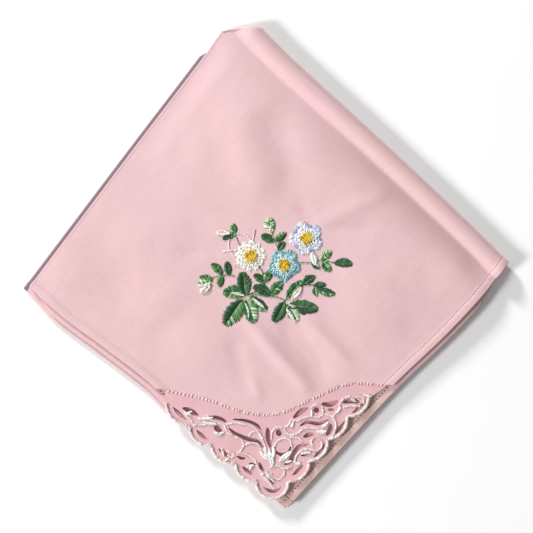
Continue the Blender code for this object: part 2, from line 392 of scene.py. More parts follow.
class ClothSettings(bpy.types.PropertyGroup):
    """Sizes and colours of the linen square."""

    thickness: length("Thickness", "Thickness of the single cloth", 0.5)
    hem_thickness: length("Hem thickness", "Thickness where the hem is turned over", 0.9)
    hem_width: length("Hem width", "Width of the turned hem", 3.0)
    linen: colour("Linen", "Colour of the cloth", (0.725, 0.485, 0.498))
    linen_pale: colour("Pale linen", "Colour of its lighter threads", (0.80, 0.570, 0.582))
    shade: colour("Fold shade", "Colour of the dark strip along the lower fold", (0.20, 0.145, 0.165))
    valley: colour("Valley shade", "Colour of the cloth in the valley beside the roll", (0.42, 0.26, 0.26))
    # Mottled beige laid over the second layer beside the lace corner.
    beige: colour("Beige patch", "Colour of the mottled wrong side by the corner", (0.62, 0.43, 0.38))
    # Painted shade, mauve, on the cloth seen through the lace.
    mauve: colour("Painted shade under the lace", "Colour of the cloth seen through the lace", (0.66, 0.35, 0.39))
    hem_thread: colour("Hem thread", "Colour of the hem's stitches", (0.84, 0.54, 0.56))
    hem_pitch: length("Hem stitch pitch", "Distance between two hem stitches", 1.7)


class LaceSettings(bpy.types.PropertyGroup):
    """Sizes and colours of the lace corner."""

    thickness: length("Thickness", "Thickness of the lace ground", 0.45)
    ground: colour("Ground", "Colour of the lace ground", (0.72, 0.445, 0.475))
    cream: colour("Cream", "Colour of the corded edges", (0.93, 0.83, 0.74))
    white: colour("White", "Colour of the bright satin threads", (0.97, 0.95, 0.93))
    edge_width: length("Edge width", "Width of the corded scallop edge", 1.5)
    cord_width: length("Cord width", "Width of the cords inside the lace", 1.12)
    stitch_pitch: length("Stitch pitch", "Distance between two stitches on a cord", 0.62)


class EmbroiderySettings(bpy.types.PropertyGroup):
    """Threads of the embroidered spray."""

    thread_width: length("Thread width", "Width of one stitch", 0.56)
    stitch_pitch: length("Stitch pitch", "Distance between two stitches", 0.46)
    rise: length("Rise", "Height of a stitch over the cloth", 0.55)


class StageSettings(bpy.types.PropertyGroup):
    """Floor, lights and camera."""

    floor: colour("Floor", "Colour of the floor", (0.93, 0.93, 0.93))
    view_width: length("View width", "Width that the camera sees on the cloth", 227.3)
    key_power: FloatProperty(name="Key light", description="Power of the light from the left", default=50.0,
                             unit="POWER")
    top_power: FloatProperty(name="Top light", description="Power of the light from the top of the view",
                             default=56.0, unit="POWER")
    fill_strength: FloatProperty(name="Fill light", description="Strength of the light all round",
                                 default=0.30)


# ---------------------------------------------------------------------------
# Finishes
# ---------------------------------------------------------------------------


class Finish:
    """A material whose nodes are being wired."""

    def __init__(self, name, roughness):
        self.material = bpy.data.materials.new(name)
        self.material.use_nodes = True
        self.nodes = self.material.node_tree.nodes
        self.links = self.material.node_tree.links
        self.shader = self.nodes["Principled BSDF"]
        self.shader.inputs["Roughness"].default_value = roughness

    def node(self, kind, inputs=(), **settings):
        """Add a node, set its settings, and link or set its inputs."""
        node = self.nodes.new(kind)
        for key, value in settings.items():
            setattr(node, key, value)
        for key, value in dict(inputs).items():
            if isinstance(value, bpy.types.NodeSocket):
                self.links.new(value, node.inputs[key])
            else:
                node.inputs[key].default_value = value
        return node

    def place(self, source):
        """Coordinates: UV or Object."""
        return self.node("ShaderNodeTexCoord").outputs[source]

    def stretched(self, vector, scale):
        """Coordinates scaled along each axis."""
        return self.node("ShaderNodeMapping", {"Vector": vector, "Scale": scale}).outputs["Vector"]

    def noise(self, vector, scale, detail=2.0):
        """Noise between 0 and 1."""
        inputs = {"Vector": vector, "Scale": scale, "Detail": detail}
        return self.node("ShaderNodeTexNoise", inputs).outputs["Fac"]

    def calc(self, operation, first, second=0.0, third=0.0):
        """One step of arithmetic."""
        inputs = {0: first, 1: second, 2: third}
        return self.node("ShaderNodeMath", inputs, operation=operation).outputs["Value"]

    def remap(self, value, low, high, new_low=0.0, new_high=1.0):
        """Ease a value from one range to another."""
        inputs = {"Value": value, "From Min": low, "From Max": high, "To Min": new_low, "To Max": new_high}
        return self.node("ShaderNodeMapRange", inputs, interpolation_type="SMOOTHSTEP").outputs["Result"]

    def blend(self, share, first, second, blend_type="MIX"):
        """Mix two colours."""
        node = self.node("ShaderNodeMix", {"Factor": share}, data_type="RGBA", blend_type=blend_type)
        for socket, value in zip((node.inputs[6], node.inputs[7]), (first, second)):
            if isinstance(value, bpy.types.NodeSocket):
                self.links.new(value, socket)
            else:
                socket.default_value = (*value, 1.0)
        return node.outputs[2]

    def colour(self, socket):
        """Give the shader its colour."""
        self.links.new(socket, self.shader.inputs["Base Color"])

    def bump(self, height, distance, strength=1.0):
        """Give the shader its relief."""
        inputs = {"Height": height, "Distance": distance, "Strength": strength}
        self.links.new(self.node("ShaderNodeBump", inputs).outputs["Normal"], self.shader.inputs["Normal"])

    def sheen(self, weight, roughness, tint):
        """Give the shader a fabric's soft sheen."""
        self.shader.inputs["Sheen Weight"].default_value = weight
        self.shader.inputs["Sheen Roughness"].default_value = roughness
        self.shader.inputs["Sheen Tint"].default_value = (*tint, 1.0)


def scaled_colour(base, factor):
    """A lighter or darker version of a colour."""
    return tuple(min(channel * factor, 1.0) for channel in base)


# A slub's length in threads, the grain's fineness beside the threads', and the
# slubs' share of the tone.
SLUB_LENGTH = 26
GRAIN_SCALE = 0.9
SLUB_SHARE = 0.55


def woven(finish, vector, threads, dark, pale):
    """Plain weave: uneven threads both ways, and their relief. Returns colour and height."""
    streak = threads / SLUB_LENGTH
    along_first = finish.noise(finish.stretched(vector, (threads, streak, 1.0)), 1.0, 3.0)
    along_second = finish.noise(finish.stretched(vector, (streak, threads, 1.0)), 1.0, 3.0)
    slubs = finish.calc("ADD", along_first, along_second)
    split = finish.node("ShaderNodeSeparateXYZ", {"Vector": vector})
    turn = 2.0 * math.pi * threads
    first = finish.calc("SINE", finish.calc("MULTIPLY", split.outputs["X"], turn))
    second = finish.calc("SINE", finish.calc("MULTIPLY", split.outputs["Y"], turn))
    crossing = finish.calc("MULTIPLY", first, second)
    grain = finish.noise(vector, threads * GRAIN_SCALE, 2.0)
    slub_tone = finish.calc("MULTIPLY", finish.remap(slubs, 0.70, 1.30), SLUB_SHARE)
    grain_tone = finish.calc("MULTIPLY", finish.remap(grain, 0.3, 0.7), 1.0 - SLUB_SHARE)
    weave_colour = finish.blend(finish.calc("ADD", slub_tone, grain_tone), dark, pale)
    height = finish.calc("ADD", finish.calc("MULTIPLY", crossing, 0.5), finish.calc("MULTIPLY", slubs, 1.2))
    return weave_colour, height


# The flat cloth's side in millimetres, and the threads that its weave shows across it.
CLOTH_SIDE = 300.0
WEAVE_THREADS = 700.0
LINEN_BUMP = 0.06 * MM
LINEN_SHEEN_TINT = (1.0, 0.92, 0.92)
LINEN_SPECULAR = 0.25
# Painted shade in the hem's crease line and in its pin holes, on both sides of the cloth.
HEM_CREASE_SHADE = (0.36, 0.17, 0.19)
PIN_HOLE_SHADE_COLOUR = (0.42, 0.20, 0.23)
PIN_HOLE_DEEP_SHADE = (0.16, 0.075, 0.05)
# How much of each mark's painted shade shows, on the right side and on the wrong side.
HEM_CREASE_SHADE_SHOWS = (0.36, 0.15)
PIN_HOLE_SHADE_SHOWS = (0.30, 0.85)

# Masks on the flat cloth, whose UV runs from 0 to 1 each way with both folds at
# 0.5.  The front hem of the upper layers is at Y 1.
FRONT_HEM = (0.980, 0.984)
UPPER_HALF = (0.50, 0.51)

# Masks on the folded cloth, in metres: the mottled beige patch on the wrong side along
# the open hem beside the lace, and the painted shade on the wrong side seen through the lace.
BESIDE_LACE_X = (0.064, 0.069)
BESIDE_LACE_Y = (-0.016, -0.002)
UNDER_LACE_SHADE_X = (0.004, 0.007)
UNDER_LACE_SHADE_Y = (-0.0712, -0.0704)
UNDER_LACE_SHADE_END = (0.064, 0.067)
UNDER_LACE_SHADE_SHOWS = 0.8


def linen_finish():
    """Rose linen: slubby threads, uneven dye, and painted shade in the hem crease, pin holes, folds and
    valley.
    """
    cloth = bpy.context.scene.handkerchief_cloth
    finish = Finish("rose linen", 0.78)
    flat = finish.place("UV")
    weave_colour, height = woven(finish, flat, WEAVE_THREADS, tuple(cloth.linen), tuple(cloth.linen_pale))
    dyed = uneven_dye(finish, flat, weave_colour)
    line, holes = hem_marks(finish, flat, cloth)
    split = finish.node("ShaderNodeSeparateXYZ", {"Vector": flat})
    holes = finish.calc("MULTIPLY", holes, finish.remap(split.outputs["Y"], *FRONT_HEM, 1.0, 0.0))
    # Painted shade in the hem's crease line and in its pin holes.
    marked = finish.blend(finish.calc("MULTIPLY", line, HEM_CREASE_SHADE_SHOWS[0]), dyed, HEM_CREASE_SHADE)
    marked = finish.blend(finish.calc("MULTIPLY", holes, PIN_HOLE_SHADE_SHOWS[0]), marked, PIN_HOLE_SHADE_COLOUR)
    marked = finish.blend(fold_shade(finish, flat), marked, tuple(cloth.shade))
    marked = finish.blend(valley_shade(finish, flat), marked, tuple(cloth.valley))
    finish.colour(marked)
    marks = finish.calc("MULTIPLY", finish.calc("MAXIMUM", line, holes), 3.0)
    finish.bump(finish.calc("SUBTRACT", height, marks), LINEN_BUMP, 0.8)
    finish.sheen(0.15, 0.45, LINEN_SHEEN_TINT)
    finish.shader.inputs["Specular IOR Level"].default_value = LINEN_SPECULAR
    return finish.material


def wrong_side_finish():
    """The wrong side: mottled beige by the lace corner, painted shade under the lace and in the pin holes.
    """
    cloth = bpy.context.scene.handkerchief_cloth
    finish = Finish("rose linen wrong side", 0.8)
    flat = finish.place("UV")
    linen = scaled_colour(tuple(cloth.linen), 0.97)
    weave_colour, height = woven(finish, flat, WEAVE_THREADS, linen, tuple(cloth.linen_pale))
    dyed = uneven_dye(finish, flat, weave_colour)
    spot = finish.node("ShaderNodeSeparateXYZ", {"Vector": finish.place("Object")})
    # A mottled beige patch on the second layer beside the lace corner.
    beside = finish.calc("MULTIPLY", finish.remap(spot.outputs["X"], *BESIDE_LACE_X),
                         finish.remap(spot.outputs["Y"], *BESIDE_LACE_Y, 1.0, 0.0))
    mottle = finish.remap(finish.noise(flat, 60.0, 4.0), 0.35, 0.62, 0.45, 1.0)
    dyed = finish.blend(finish.calc("MULTIPLY", beside, mottle), dyed, tuple(cloth.beige))
    # Painted shade on the wrong side seen through the lace, fading out towards the open hem.
    under = finish.calc("MULTIPLY", finish.remap(spot.outputs["X"], *UNDER_LACE_SHADE_X),
                        finish.remap(spot.outputs["Y"], *UNDER_LACE_SHADE_Y))
    under = finish.calc("MULTIPLY", under,
                        finish.remap(spot.outputs["X"], *UNDER_LACE_SHADE_END, UNDER_LACE_SHADE_SHOWS, 0.0))
    dyed = finish.blend(under, dyed, tuple(cloth.mauve))
    line, holes = hem_marks(finish, flat, cloth)
    # Painted shade in the hem's crease line and, deeper, in its pin holes.
    marked = finish.blend(finish.calc("MULTIPLY", line, HEM_CREASE_SHADE_SHOWS[1]), dyed, HEM_CREASE_SHADE)
    marked = finish.blend(finish.calc("MULTIPLY", holes, PIN_HOLE_SHADE_SHOWS[1]), marked, PIN_HOLE_DEEP_SHADE)
    finish.colour(marked)
    finish.bump(finish.calc("SUBTRACT", height, finish.calc("MULTIPLY", holes, 4.0)), LINEN_BUMP, 0.8)
    finish.sheen(0.12, 0.45, LINEN_SHEEN_TINT)
    finish.shader.inputs["Specular IOR Level"].default_value = LINEN_SPECULAR
    return finish.material


def uneven_dye(finish, flat, weave_colour):
    """Broad patches where the dye is a little warmer or cooler."""
    warm = finish.blend(1.0, weave_colour, (1.0, 0.972, 0.955), "MULTIPLY")
    cool = finish.blend(1.0, weave_colour, (0.985, 0.965, 0.990), "MULTIPLY")
    patches = finish.remap(finish.noise(flat, 7.0, 3.0), 0.35, 0.65)
    return finish.blend(patches, warm, cool)


# The painted shade of the strip along the first fold: its edge off the fold, where it
# ends on the lower layers, and how much it shows.  Then the softer painted shade along
# the top layer's own fold edge: its reach off the fold, where that starts past the roll,
# and how much it shows.
STRIP_EDGE = (0.0085, 0.0105)
STRIP_END = (0.4195, 0.4215)
STRIP_SHOWS = 0.95
TOP_EDGE_SHADE_REACH = (0.0025, 0.0075)
TOP_EDGE_SHADE_START = (0.54, 0.56)
TOP_EDGE_SHADE_SHOWS = 0.40


def fold_shade(finish, flat):
    """Mask of painted shade: the strip along the lower layers' fold and the top layer's fold edge."""
    split = finish.node("ShaderNodeSeparateXYZ", {"Vector": flat})
    off_fold = finish.calc("ABSOLUTE", finish.calc("SUBTRACT", split.outputs["X"], 0.5))
    strip = finish.remap(off_fold, *STRIP_EDGE, 1.0, 0.0)
    lower = finish.remap(split.outputs["Y"], *STRIP_END, 1.0, 0.0)
    upper = finish.remap(split.outputs["Y"], *TOP_EDGE_SHADE_START)
    # Painted shade along the top layer's own fold edge.
    edge = finish.calc("MULTIPLY", finish.remap(off_fold, *TOP_EDGE_SHADE_REACH, 1.0, 0.0), upper)
    shade = finish.calc("MULTIPLY", finish.calc("MULTIPLY", strip, lower), STRIP_SHOWS)
    return finish.calc("ADD", shade, finish.calc("MULTIPLY", edge, TOP_EDGE_SHADE_SHOWS))


# The valley beside the roll: where its shade starts and dies away across it, where
# it comes in along it, where it thins out at the open hem, and how much it shows.
VALLEY_NEAR = (0.5345, 0.5385)
VALLEY_FAR = (0.5385, 0.600)
VALLEY_START = (0.62, 0.80)
VALLEY_END = (0.955, 0.985)
VALLEY_LEFT = 0.2
VALLEY_SHOWS = 0.42


def valley_shade(finish, flat):
    """Mask of the soft shade in the valley beside the roll, on the top layer."""
    split = finish.node("ShaderNodeSeparateXYZ", {"Vector": flat})
    near = finish.remap(split.outputs["Y"], *VALLEY_NEAR)
    far = finish.remap(split.outputs["Y"], *VALLEY_FAR, 1.0, 0.0)
    along = finish.remap(split.outputs["X"], *VALLEY_START)
    end = finish.remap(split.outputs["X"], *VALLEY_END, 1.0, VALLEY_LEFT)
    mask = finish.calc("MULTIPLY", finish.calc("MULTIPLY", near, far), finish.calc("MULTIPLY", along, end))
    return finish.calc("MULTIPLY", mask, VALLEY_SHOWS)


# Hem marks in millimetres, darkened with painted shade and dented: how far in from the
# turned hem the line lies, and the soft edges of a hole's radius and of the line's half width.
LINE_OFFSET = 0.25
HOLE_RADIUS = (0.24, 0.44)
LINE_HALF_WIDTH = (0.08, 0.24)


def hem_marks(finish, flat, cloth):
    """Masks of the hem's creased inner line and of the pin holes on it, for painted shade and dents.

    The holes are on all four sides, and the line on all but the upper layers' front hem.
    """
    split = finish.node("ShaderNodeSeparateXYZ", {"Vector": flat})
    lines = None
    holes = None
    for along, across in (("X", "Y"), ("Y", "X")):
        from_middle = finish.calc("ABSOLUTE", finish.calc("SUBTRACT", split.outputs[across], 0.5))
        from_edge = finish.calc("MULTIPLY", finish.calc("SUBTRACT", 0.5, from_middle), CLOTH_SIDE)
        off_line = finish.calc("SUBTRACT", from_edge, cloth.hem_width / MM + LINE_OFFSET)
        steps = finish.calc("MULTIPLY", split.outputs[along], CLOTH_SIDE * MM / cloth.hem_pitch)
        beside = finish.calc("SUBTRACT", finish.calc("FRACT", steps), 0.5)
        beside = finish.calc("MULTIPLY", beside, cloth.hem_pitch / MM)
        distance = finish.calc("SQRT", finish.calc("ADD", finish.calc("MULTIPLY", beside, beside),
                                                   finish.calc("MULTIPLY", off_line, off_line)))
        hole = finish.remap(distance, *HOLE_RADIUS, 1.0, 0.0)
        line = finish.remap(finish.calc("ABSOLUTE", off_line), *LINE_HALF_WIDTH, 1.0, 0.0)
        if across == "Y":
            line = finish.calc("MULTIPLY", line, finish.remap(split.outputs["Y"], *UPPER_HALF, 1.0, 0.0))
        holes = hole if holes is None else finish.calc("MAXIMUM", holes, hole)
        lines = line if lines is None else finish.calc("MAXIMUM", lines, line)
    return lines, holes


LACE_THREADS_PER_METRE = 2600.0


def lace_ground_finish():
    """The lace's pink ground: a fine close weave."""
    lace = bpy.context.scene.handkerchief_lace
    finish = Finish("lace ground", 0.7)
    ground = tuple(lace.ground)
    place = finish.place("Object")
    weave_colour, height = woven(finish, place, LACE_THREADS_PER_METRE,
                                 scaled_colour(ground, 0.93), scaled_colour(ground, 1.08))
    patches = finish.remap(finish.noise(place, 120.0, 3.0), 0.35, 0.7)
    warmer = finish.blend(1.0, weave_colour, (1.0, 0.94, 0.93), "MULTIPLY")
    finish.colour(finish.blend(patches, weave_colour, warmer))
    finish.bump(height, 0.00005, 0.7)
    finish.sheen(0.25, 0.4, (1.0, 0.93, 0.92))
    return finish.material


THREAD_TONES = (0.78, 1.18)
DRIFT_SCALE = 900.0
FILAMENT_SCALE = 9000.0
FILAMENT_BUMP = 0.05 * MM


def thread_finish(name, shade, gloss=0.38):
    """Lustrous thread: fine filaments, and a tone that drifts along the stitches."""
    finish = Finish(name, gloss)
    place = finish.place("Object")
    drift = finish.remap(finish.noise(place, DRIFT_SCALE, 2.0), 0.3, 0.7)
    darker, brighter = [scaled_colour(shade, tone) for tone in THREAD_TONES]
    finish.colour(finish.blend(drift, darker, brighter))
    finish.bump(finish.noise(place, FILAMENT_SCALE, 1.0), FILAMENT_BUMP, 0.5)
    finish.sheen(0.2, 0.3, (1.0, 1.0, 1.0))
    finish.shader.inputs["Specular IOR Level"].default_value = 0.6
    return finish.material


# ---------------------------------------------------------------------------
# Pieces: shared helpers
# ---------------------------------------------------------------------------


def new_object(name, mesh):
    """An object in the scene that rides on the one body."""
    item = bpy.data.objects.new(name, mesh)
    bpy.context.scene.collection.objects.link(item)
    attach(item, "root")
    return item


def apply_modifiers(item):
    """Turn an object's modifiers into its mesh."""
    depsgraph = bpy.context.evaluated_depsgraph_get()
    mesh = bpy.data.meshes.new_from_object(item.evaluated_get(depsgraph))
    item.modifiers.clear()
    item.data = mesh


def lookup(item):
    """A search tree of an object's mesh."""
    search = bmesh.new()
    search.from_mesh(item.data)
    tree = BVHTree.FromBMesh(search)
    search.free()
    return tree


# Height, in metres, from which rays are cast down.
RAY_START = 0.05


def height_on(tree, x, y, fallback):
    """Height, in metres, of what lies under a point given in metres."""
    hit = tree.ray_cast(Vector((x, y, RAY_START)), Vector((0.0, 0.0, -1.0)))[0]
    return fallback if hit is None else hit.z


class Stitching:
    """Collects stitches, each a small arched thread, in one mesh."""

    SIDES = 5
    RINGS = 4
    # How much a thread thins towards its ends, how far the ends dip as a share of
    # its height, and how high its middle is raised.
    END_THINNING = 0.45
    END_DIP = 0.85
    MIDDLE_RISE = 0.35

    def __init__(self, shades):
        self.mesh = bmesh.new()
        self.templates = [self.template(index) for index in range(shades)]

    def template(self, shade):
        """A thread from -0.5 to 0.5 along X, 1 wide and 1 high, arched, as a mesh."""
        thread = bmesh.new()
        quarter = Matrix.Rotation(math.pi / 2, 4, "Y")
        bmesh.ops.create_cone(thread, cap_ends=True, segments=self.SIDES, radius1=0.5, radius2=0.5,
                              depth=1.0, matrix=quarter)
        for ring in range(1, self.RINGS):
            place = ring / self.RINGS - 0.5
            bmesh.ops.bisect_plane(thread, geom=thread.verts[:] + thread.edges[:] + thread.faces[:],
                                   plane_co=(place, 0.0, 0.0), plane_no=(1.0, 0.0, 0.0))
        for vert in thread.verts:
            end = (2.0 * abs(vert.co.x)) ** 3
            vert.co.y *= 1.0 - self.END_THINNING * end
            vert.co.z *= 1.0 - self.END_THINNING * end
            vert.co.z -= self.END_DIP * end
        for face in thread.faces:
            face.smooth = True
            face.material_index = shade
        mesh = bpy.data.meshes.new("thread")
        thread.to_mesh(mesh)
        thread.free()
        return mesh

    def add(self, start, end, width, height, shade=0):
        """One stitch from start to end, lying on them and arched up."""
        along = end - start
        span = along.length
        if span < 1e-6:
            return
        forward = along / span
        side = Vector((0.0, 0.0, 1.0)).cross(forward).normalized()
        up = forward.cross(side)
        middle = (start + end) / 2 + up * height * self.MIDDLE_RISE
        copy = self.templates[shade].copy()
        matrix = Matrix((
            (forward.x * span, side.x * width, up.x * height, middle.x),
            (forward.y * span, side.y * width, up.y * height, middle.y),
            (forward.z * span, side.z * width, up.z * height, middle.z),
            (0.0, 0.0, 0.0, 1.0),
        ))
        copy.transform(matrix)
        self.mesh.from_mesh(copy)
        bpy.data.meshes.remove(copy)

    def finish(self, name, materials):
        """Make the object."""
        mesh = bpy.data.meshes.new(name)
        self.mesh.to_mesh(mesh)
        self.mesh.free()
        for template in self.templates:
            bpy.data.meshes.remove(template)
        for material in materials:
            mesh.materials.append(material)
        return new_object(name, mesh)


# ---------------------------------------------------------------------------
# The cloth
# ---------------------------------------------------------------------------

BEND_STEPS = 6
TURN_STEPS = 9
# Length of cloth taken up by the first fold's bend and by the roll's turn.
BEND_LENGTH = 1.1
TURN_LENGTH = 7.2
# Spacing of stations beside a fold, how far that goes on, and where the ones
# beside the hem begin; then their distances from the cloth's edge.
FOLD_SPACING = 0.8
FOLD_REACH = 12.0
HEM_REACH = 5.0
NEAR_HEM = (3.4, 2.9, 1.5, 0.5)
FIRST_COLUMN = 1.6
FIRST_ROW = 0.6
UPPER_SPACING = 1.5
LOWER_SPACING = 4.0


def flat_stations(run, start, spacing):
    """Distances from the fold to the hem, closer together beside both."""
    stations = spaced(((start, FOLD_SPACING), (start + FOLD_REACH, spacing), (run - HEM_REACH, spacing)))
    return stations + [run - inset for inset in NEAR_HEM] + [run]


def cloth_columns():
    """Half of the columns: angle round the first fold, distance in past the bend."""
    bend = [(math.pi / 2 * step / BEND_STEPS, 0.0) for step in range(BEND_STEPS + 1)]
    return bend + [(math.pi / 2, place) for place in flat_stations(OPEN_RUN, FIRST_COLUMN, UPPER_SPACING)]


def cloth_rows(spacing):
    """Rows of one half: share of the roll's turn, distance past its crest."""
    turn = [(step / TURN_STEPS, 0.0) for step in range(TURN_STEPS + 1)]
    return turn + [(1.0, place) for place in flat_stations(FRONT_PAST, FIRST_ROW, spacing)]


def flat_place(share_past, past, turn_length, run):
    """Distance from the flat cloth's middle line, as a share of half its side."""
    return (share_past * turn_length + past) / (turn_length + run)


def make_cloth():
    """The hemmed square, folded in quarters, with its top corner cut for the lace."""
    settings = bpy.context.scene.handkerchief_cloth
    columns = cloth_columns()
    upper_rows = cloth_rows(UPPER_SPACING)
    lower_rows = cloth_rows(LOWER_SPACING)
    hem = settings.hem_width / MM
    across_count = len(columns) - 1
    upper_count = len(upper_rows) - 1
    lower_count = len(lower_rows) - 1

    flat = bmesh.new()
    bmesh.ops.create_grid(flat, x_segments=2 * across_count, y_segments=upper_count + lower_count, size=1.0)
    flat_uv = flat.loops.layers.uv.new("flat cloth")
    hem_layer = flat.verts.layers.deform.verify()
    flat_places = {}
    for vert in flat.verts:
        column_index = round(vert.co.x * across_count)
        row_index = round((vert.co.y + 1.0) / 2.0 * (upper_count + lower_count)) - lower_count
        column = columns[abs(column_index)]
        upper = row_index >= 0
        row = upper_rows[row_index] if upper else lower_rows[-row_index]
        across = flat_place(column[0] / (math.pi / 2), column[1], BEND_LENGTH, OPEN_RUN)
        down = flat_place(row[0], row[1], TURN_LENGTH, FRONT_PAST)
        flat_places[vert.index] = (
            0.5 + 0.5 * math.copysign(across, column_index),
            0.5 + 0.5 * math.copysign(down, row_index),
        )
        hemmed = column[1] >= OPEN_RUN - hem or row[1] >= FRONT_PAST - hem
        vert[hem_layer][0] = 1.0 if hemmed else settings.thickness / settings.hem_thickness
        vert.co = folded_point(column, column_index >= 0, row, upper)
    for face in flat.faces:
        face.smooth = True
        for loop in face.loops:
            loop[flat_uv].uv = flat_places[loop.vert.index]
    bmesh.ops.recalc_face_normals(flat, faces=flat.faces)
    bmesh.ops.reverse_faces(flat, faces=flat.faces)
    mesh = bpy.data.meshes.new("linen_square")
    flat.to_mesh(mesh)
    flat.free()

    mesh.materials.append(linen_finish())
    mesh.materials.append(wrong_side_finish())
    cloth = new_object("linen_square", mesh)
    cloth.vertex_groups.new(name="hem")
    solidify = cloth.modifiers.new("cloth thickness", "SOLIDIFY")
    solidify.thickness = settings.hem_thickness
    solidify.offset = 0.0
    solidify.vertex_group = "hem"
    solidify.use_quality_normals = True
    solidify.material_offset = 1
    cutter = seam_cutter()
    cut = cloth.modifiers.new("lace corner cut", "BOOLEAN")
    cut.operation = "DIFFERENCE"
    cut.solver = "EXACT"
    cut.object = cutter
    apply_modifiers(cloth)
    bpy.data.objects.remove(cutter)
    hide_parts(CAD_CLOTH)
    return cloth


def seam_path(shift=0.0, steps=8):
    """Points along the lace seam in metres, moved towards the corner by shift."""
    offset = Vector((shift, -shift))
    return [(point + offset + CENTRING.xy) * MM for point in smooth_path(SEAM, steps)]


def flat_curve(name, outlines):
    """A filled flat curve of closed outlines, as a bmesh; inner outlines are holes."""
    curve = bpy.data.curves.new(name, "CURVE")
    curve.dimensions = "2D"
    curve.fill_mode = "BOTH"
    for outline in outlines:
        spline = curve.splines.new("POLY")
        spline.points.add(len(outline) - 1)
        for point, place in zip(spline.points, outline):
            point.co = (place[0], place[1], 0.0, 1.0)
        spline.use_cyclic_u = True
    guide = bpy.data.objects.new(name, curve)
    bpy.context.scene.collection.objects.link(guide)
    depsgraph = bpy.context.evaluated_depsgraph_get()
    mesh = bpy.data.meshes.new_from_object(guide.evaluated_get(depsgraph))
    filled = bmesh.new()
    filled.from_mesh(mesh)
    bpy.data.objects.remove(guide)
    bpy.data.meshes.remove(mesh)
    bmesh.ops.remove_doubles(filled, verts=filled.verts, dist=0.01 * MM)
    return filled


def seam_cutter():
    """A slab that holds everything of the top layer past the lace seam."""
    seam = seam_path()
    over = CUT_OVERRUN * MM
    start = seam[0]
    end = seam[-1]
    outline = [start - Vector((over, over * CUT_SLOPE))] + seam
    outline += [end + Vector((over, over * CUT_SLOPE)), Vector((end.x + over, start.y - over))]
    outline += [start - Vector((over, over))]
    slab = flat_curve("lace_corner_cut", [outline])
    bmesh.ops.translate(slab, verts=slab.verts, vec=(0.0, 0.0, (TOP_LEVEL - CUT_BELOW) * MM))
    grown = bmesh.ops.extrude_face_region(slab, geom=slab.faces[:])
    upper = [item for item in grown["geom"] if isinstance(item, bmesh.types.BMVert)]
    bmesh.ops.translate(slab, verts=upper, vec=(0.0, 0.0, CUT_HEIGHT * MM))
    bmesh.ops.recalc_face_normals(slab, faces=slab.faces)
    mesh = bpy.data.meshes.new("lace_corner_cut")
    slab.to_mesh(mesh)
    slab.free()
    cutter = bpy.data.objects.new("lace_corner_cut", mesh)
    bpy.context.scene.collection.objects.link(cutter)
    return cutter


# Whether each layer lies outside the first fold and above the roll's turn.
LAYER_SIDES = {
    "top": (True, True),
    "second": (False, True),
    "third": (False, False),
    "bottom": (True, False),
}
HEM_STITCH_REACH = 0.4
HEM_STITCH_WIDTH = 0.30
HEM_STITCH_HEIGHT = 0.24
# A stitch lies this share of the cloth's thickness above its middle.
ON_CLOTH = 0.55


def make_hem_stitches():
    """Little stitches that hold the turned hem down, on the upper face of every layer."""
    settings = bpy.context.scene.handkerchief_cloth
    stitching = Stitching(1)
    pitch = settings.hem_pitch / MM
    width = settings.hem_width / MM
    seam_guard = BVHTree.FromPolygons(*corner_polygon())
    lift = Vector((0.0, 0.0, settings.thickness * ON_CLOTH))
    for name, (outer, upper) in LAYER_SIDES.items():
        for along_front, run, along_run in ((True, FRONT_PAST, OPEN_RUN), (False, OPEN_RUN, FRONT_PAST)):
            for step in range(1, int((along_run - width) / pitch)):
                place = step * pitch
                pair = []
                for depth in (run - width - HEM_STITCH_REACH, run - width + HEM_STITCH_REACH):
                    column = (math.pi / 2, place if along_front else depth)
                    row = (1.0, depth if along_front else place)
                    pair.append(folded_point(column, outer, row, upper) + lift)
                if name == "top" and past_seam(seam_guard, pair[0]):
                    continue
                stitching.add(*pair, HEM_STITCH_WIDTH * MM, HEM_STITCH_HEIGHT * MM)
    return stitching.finish("hem_stitches", [thread_finish("hem thread", tuple(settings.hem_thread), 0.55)])


# The corner that the lace takes, in metres: how far it reaches past the cloth, and
# past its middle; and how far short of the seam, in millimetres, stitches stop.
CORNER_FAR = 0.12
CORNER_NEAR = 0.005
SEAM_GUARD = 1.0


def corner_polygon():
    """The part of the top layer that the lace takes, as one polygon."""
    seam = seam_path(-SEAM_GUARD)
    corner = [Vector((CORNER_FAR, CORNER_NEAR)), Vector((CORNER_FAR, -CORNER_FAR)),
              Vector((-CORNER_NEAR, -CORNER_FAR))]
    points = [Vector((point.x, point.y, 0.0)) for point in seam + corner]
    return points, [list(range(len(points)))]


def past_seam(guard, point):
    """Whether a point lies past the lace seam."""
    start = Vector((point.x, point.y, RAY_START))
    return guard.ray_cast(start, Vector((0.0, 0.0, -1.0)))[0] is not None


# ---------------------------------------------------------------------------
# The lace corner
# ---------------------------------------------------------------------------

# The corner's own frame: x to the right and y up as one looks at the corner
# pointing down, from a point in the middle of the lace.
CORNER_ORIGIN = Vector((50.1, -54.2))
# How far the lace is raised past the seam, its unevenness and that one's reach,
# and the distance from the seam at which it begins.
LACE_RISE = -0.05
LACE_UNEVENNESS = 0.14
LACE_REACH = 9.0
LACE_LEVEL_UNTIL = 1.5
# The corded edge's middle, in from the lace's outline.
EDGE_INSET = 0.55
# The crescents' distance in from the edge, up to the scallop past the tip's and
# from there on; their depth; and the share of the scallop that they follow.
CRESCENT_INSETS = (3.0, 1.65)
CRESCENT_DEPTH = 1.7
CRESCENT_SHARE = 0.8
SCALLOP_STEPS = 12
# Width of every opening beside its table's, and how blunt its ends are.
OPENING_WIDTH = 1.15
OPENING_ENDS = (0.04, 0.96)
OPENING_BLUNTNESS = 0.6
# The flat lace is divided at this spacing, this many times each way, so that it bends.
LACE_GRID = 2.2
LACE_CUTS = 35
# Threads lie this share of the lace's thickness above its middle.
ON_LACE = 0.45

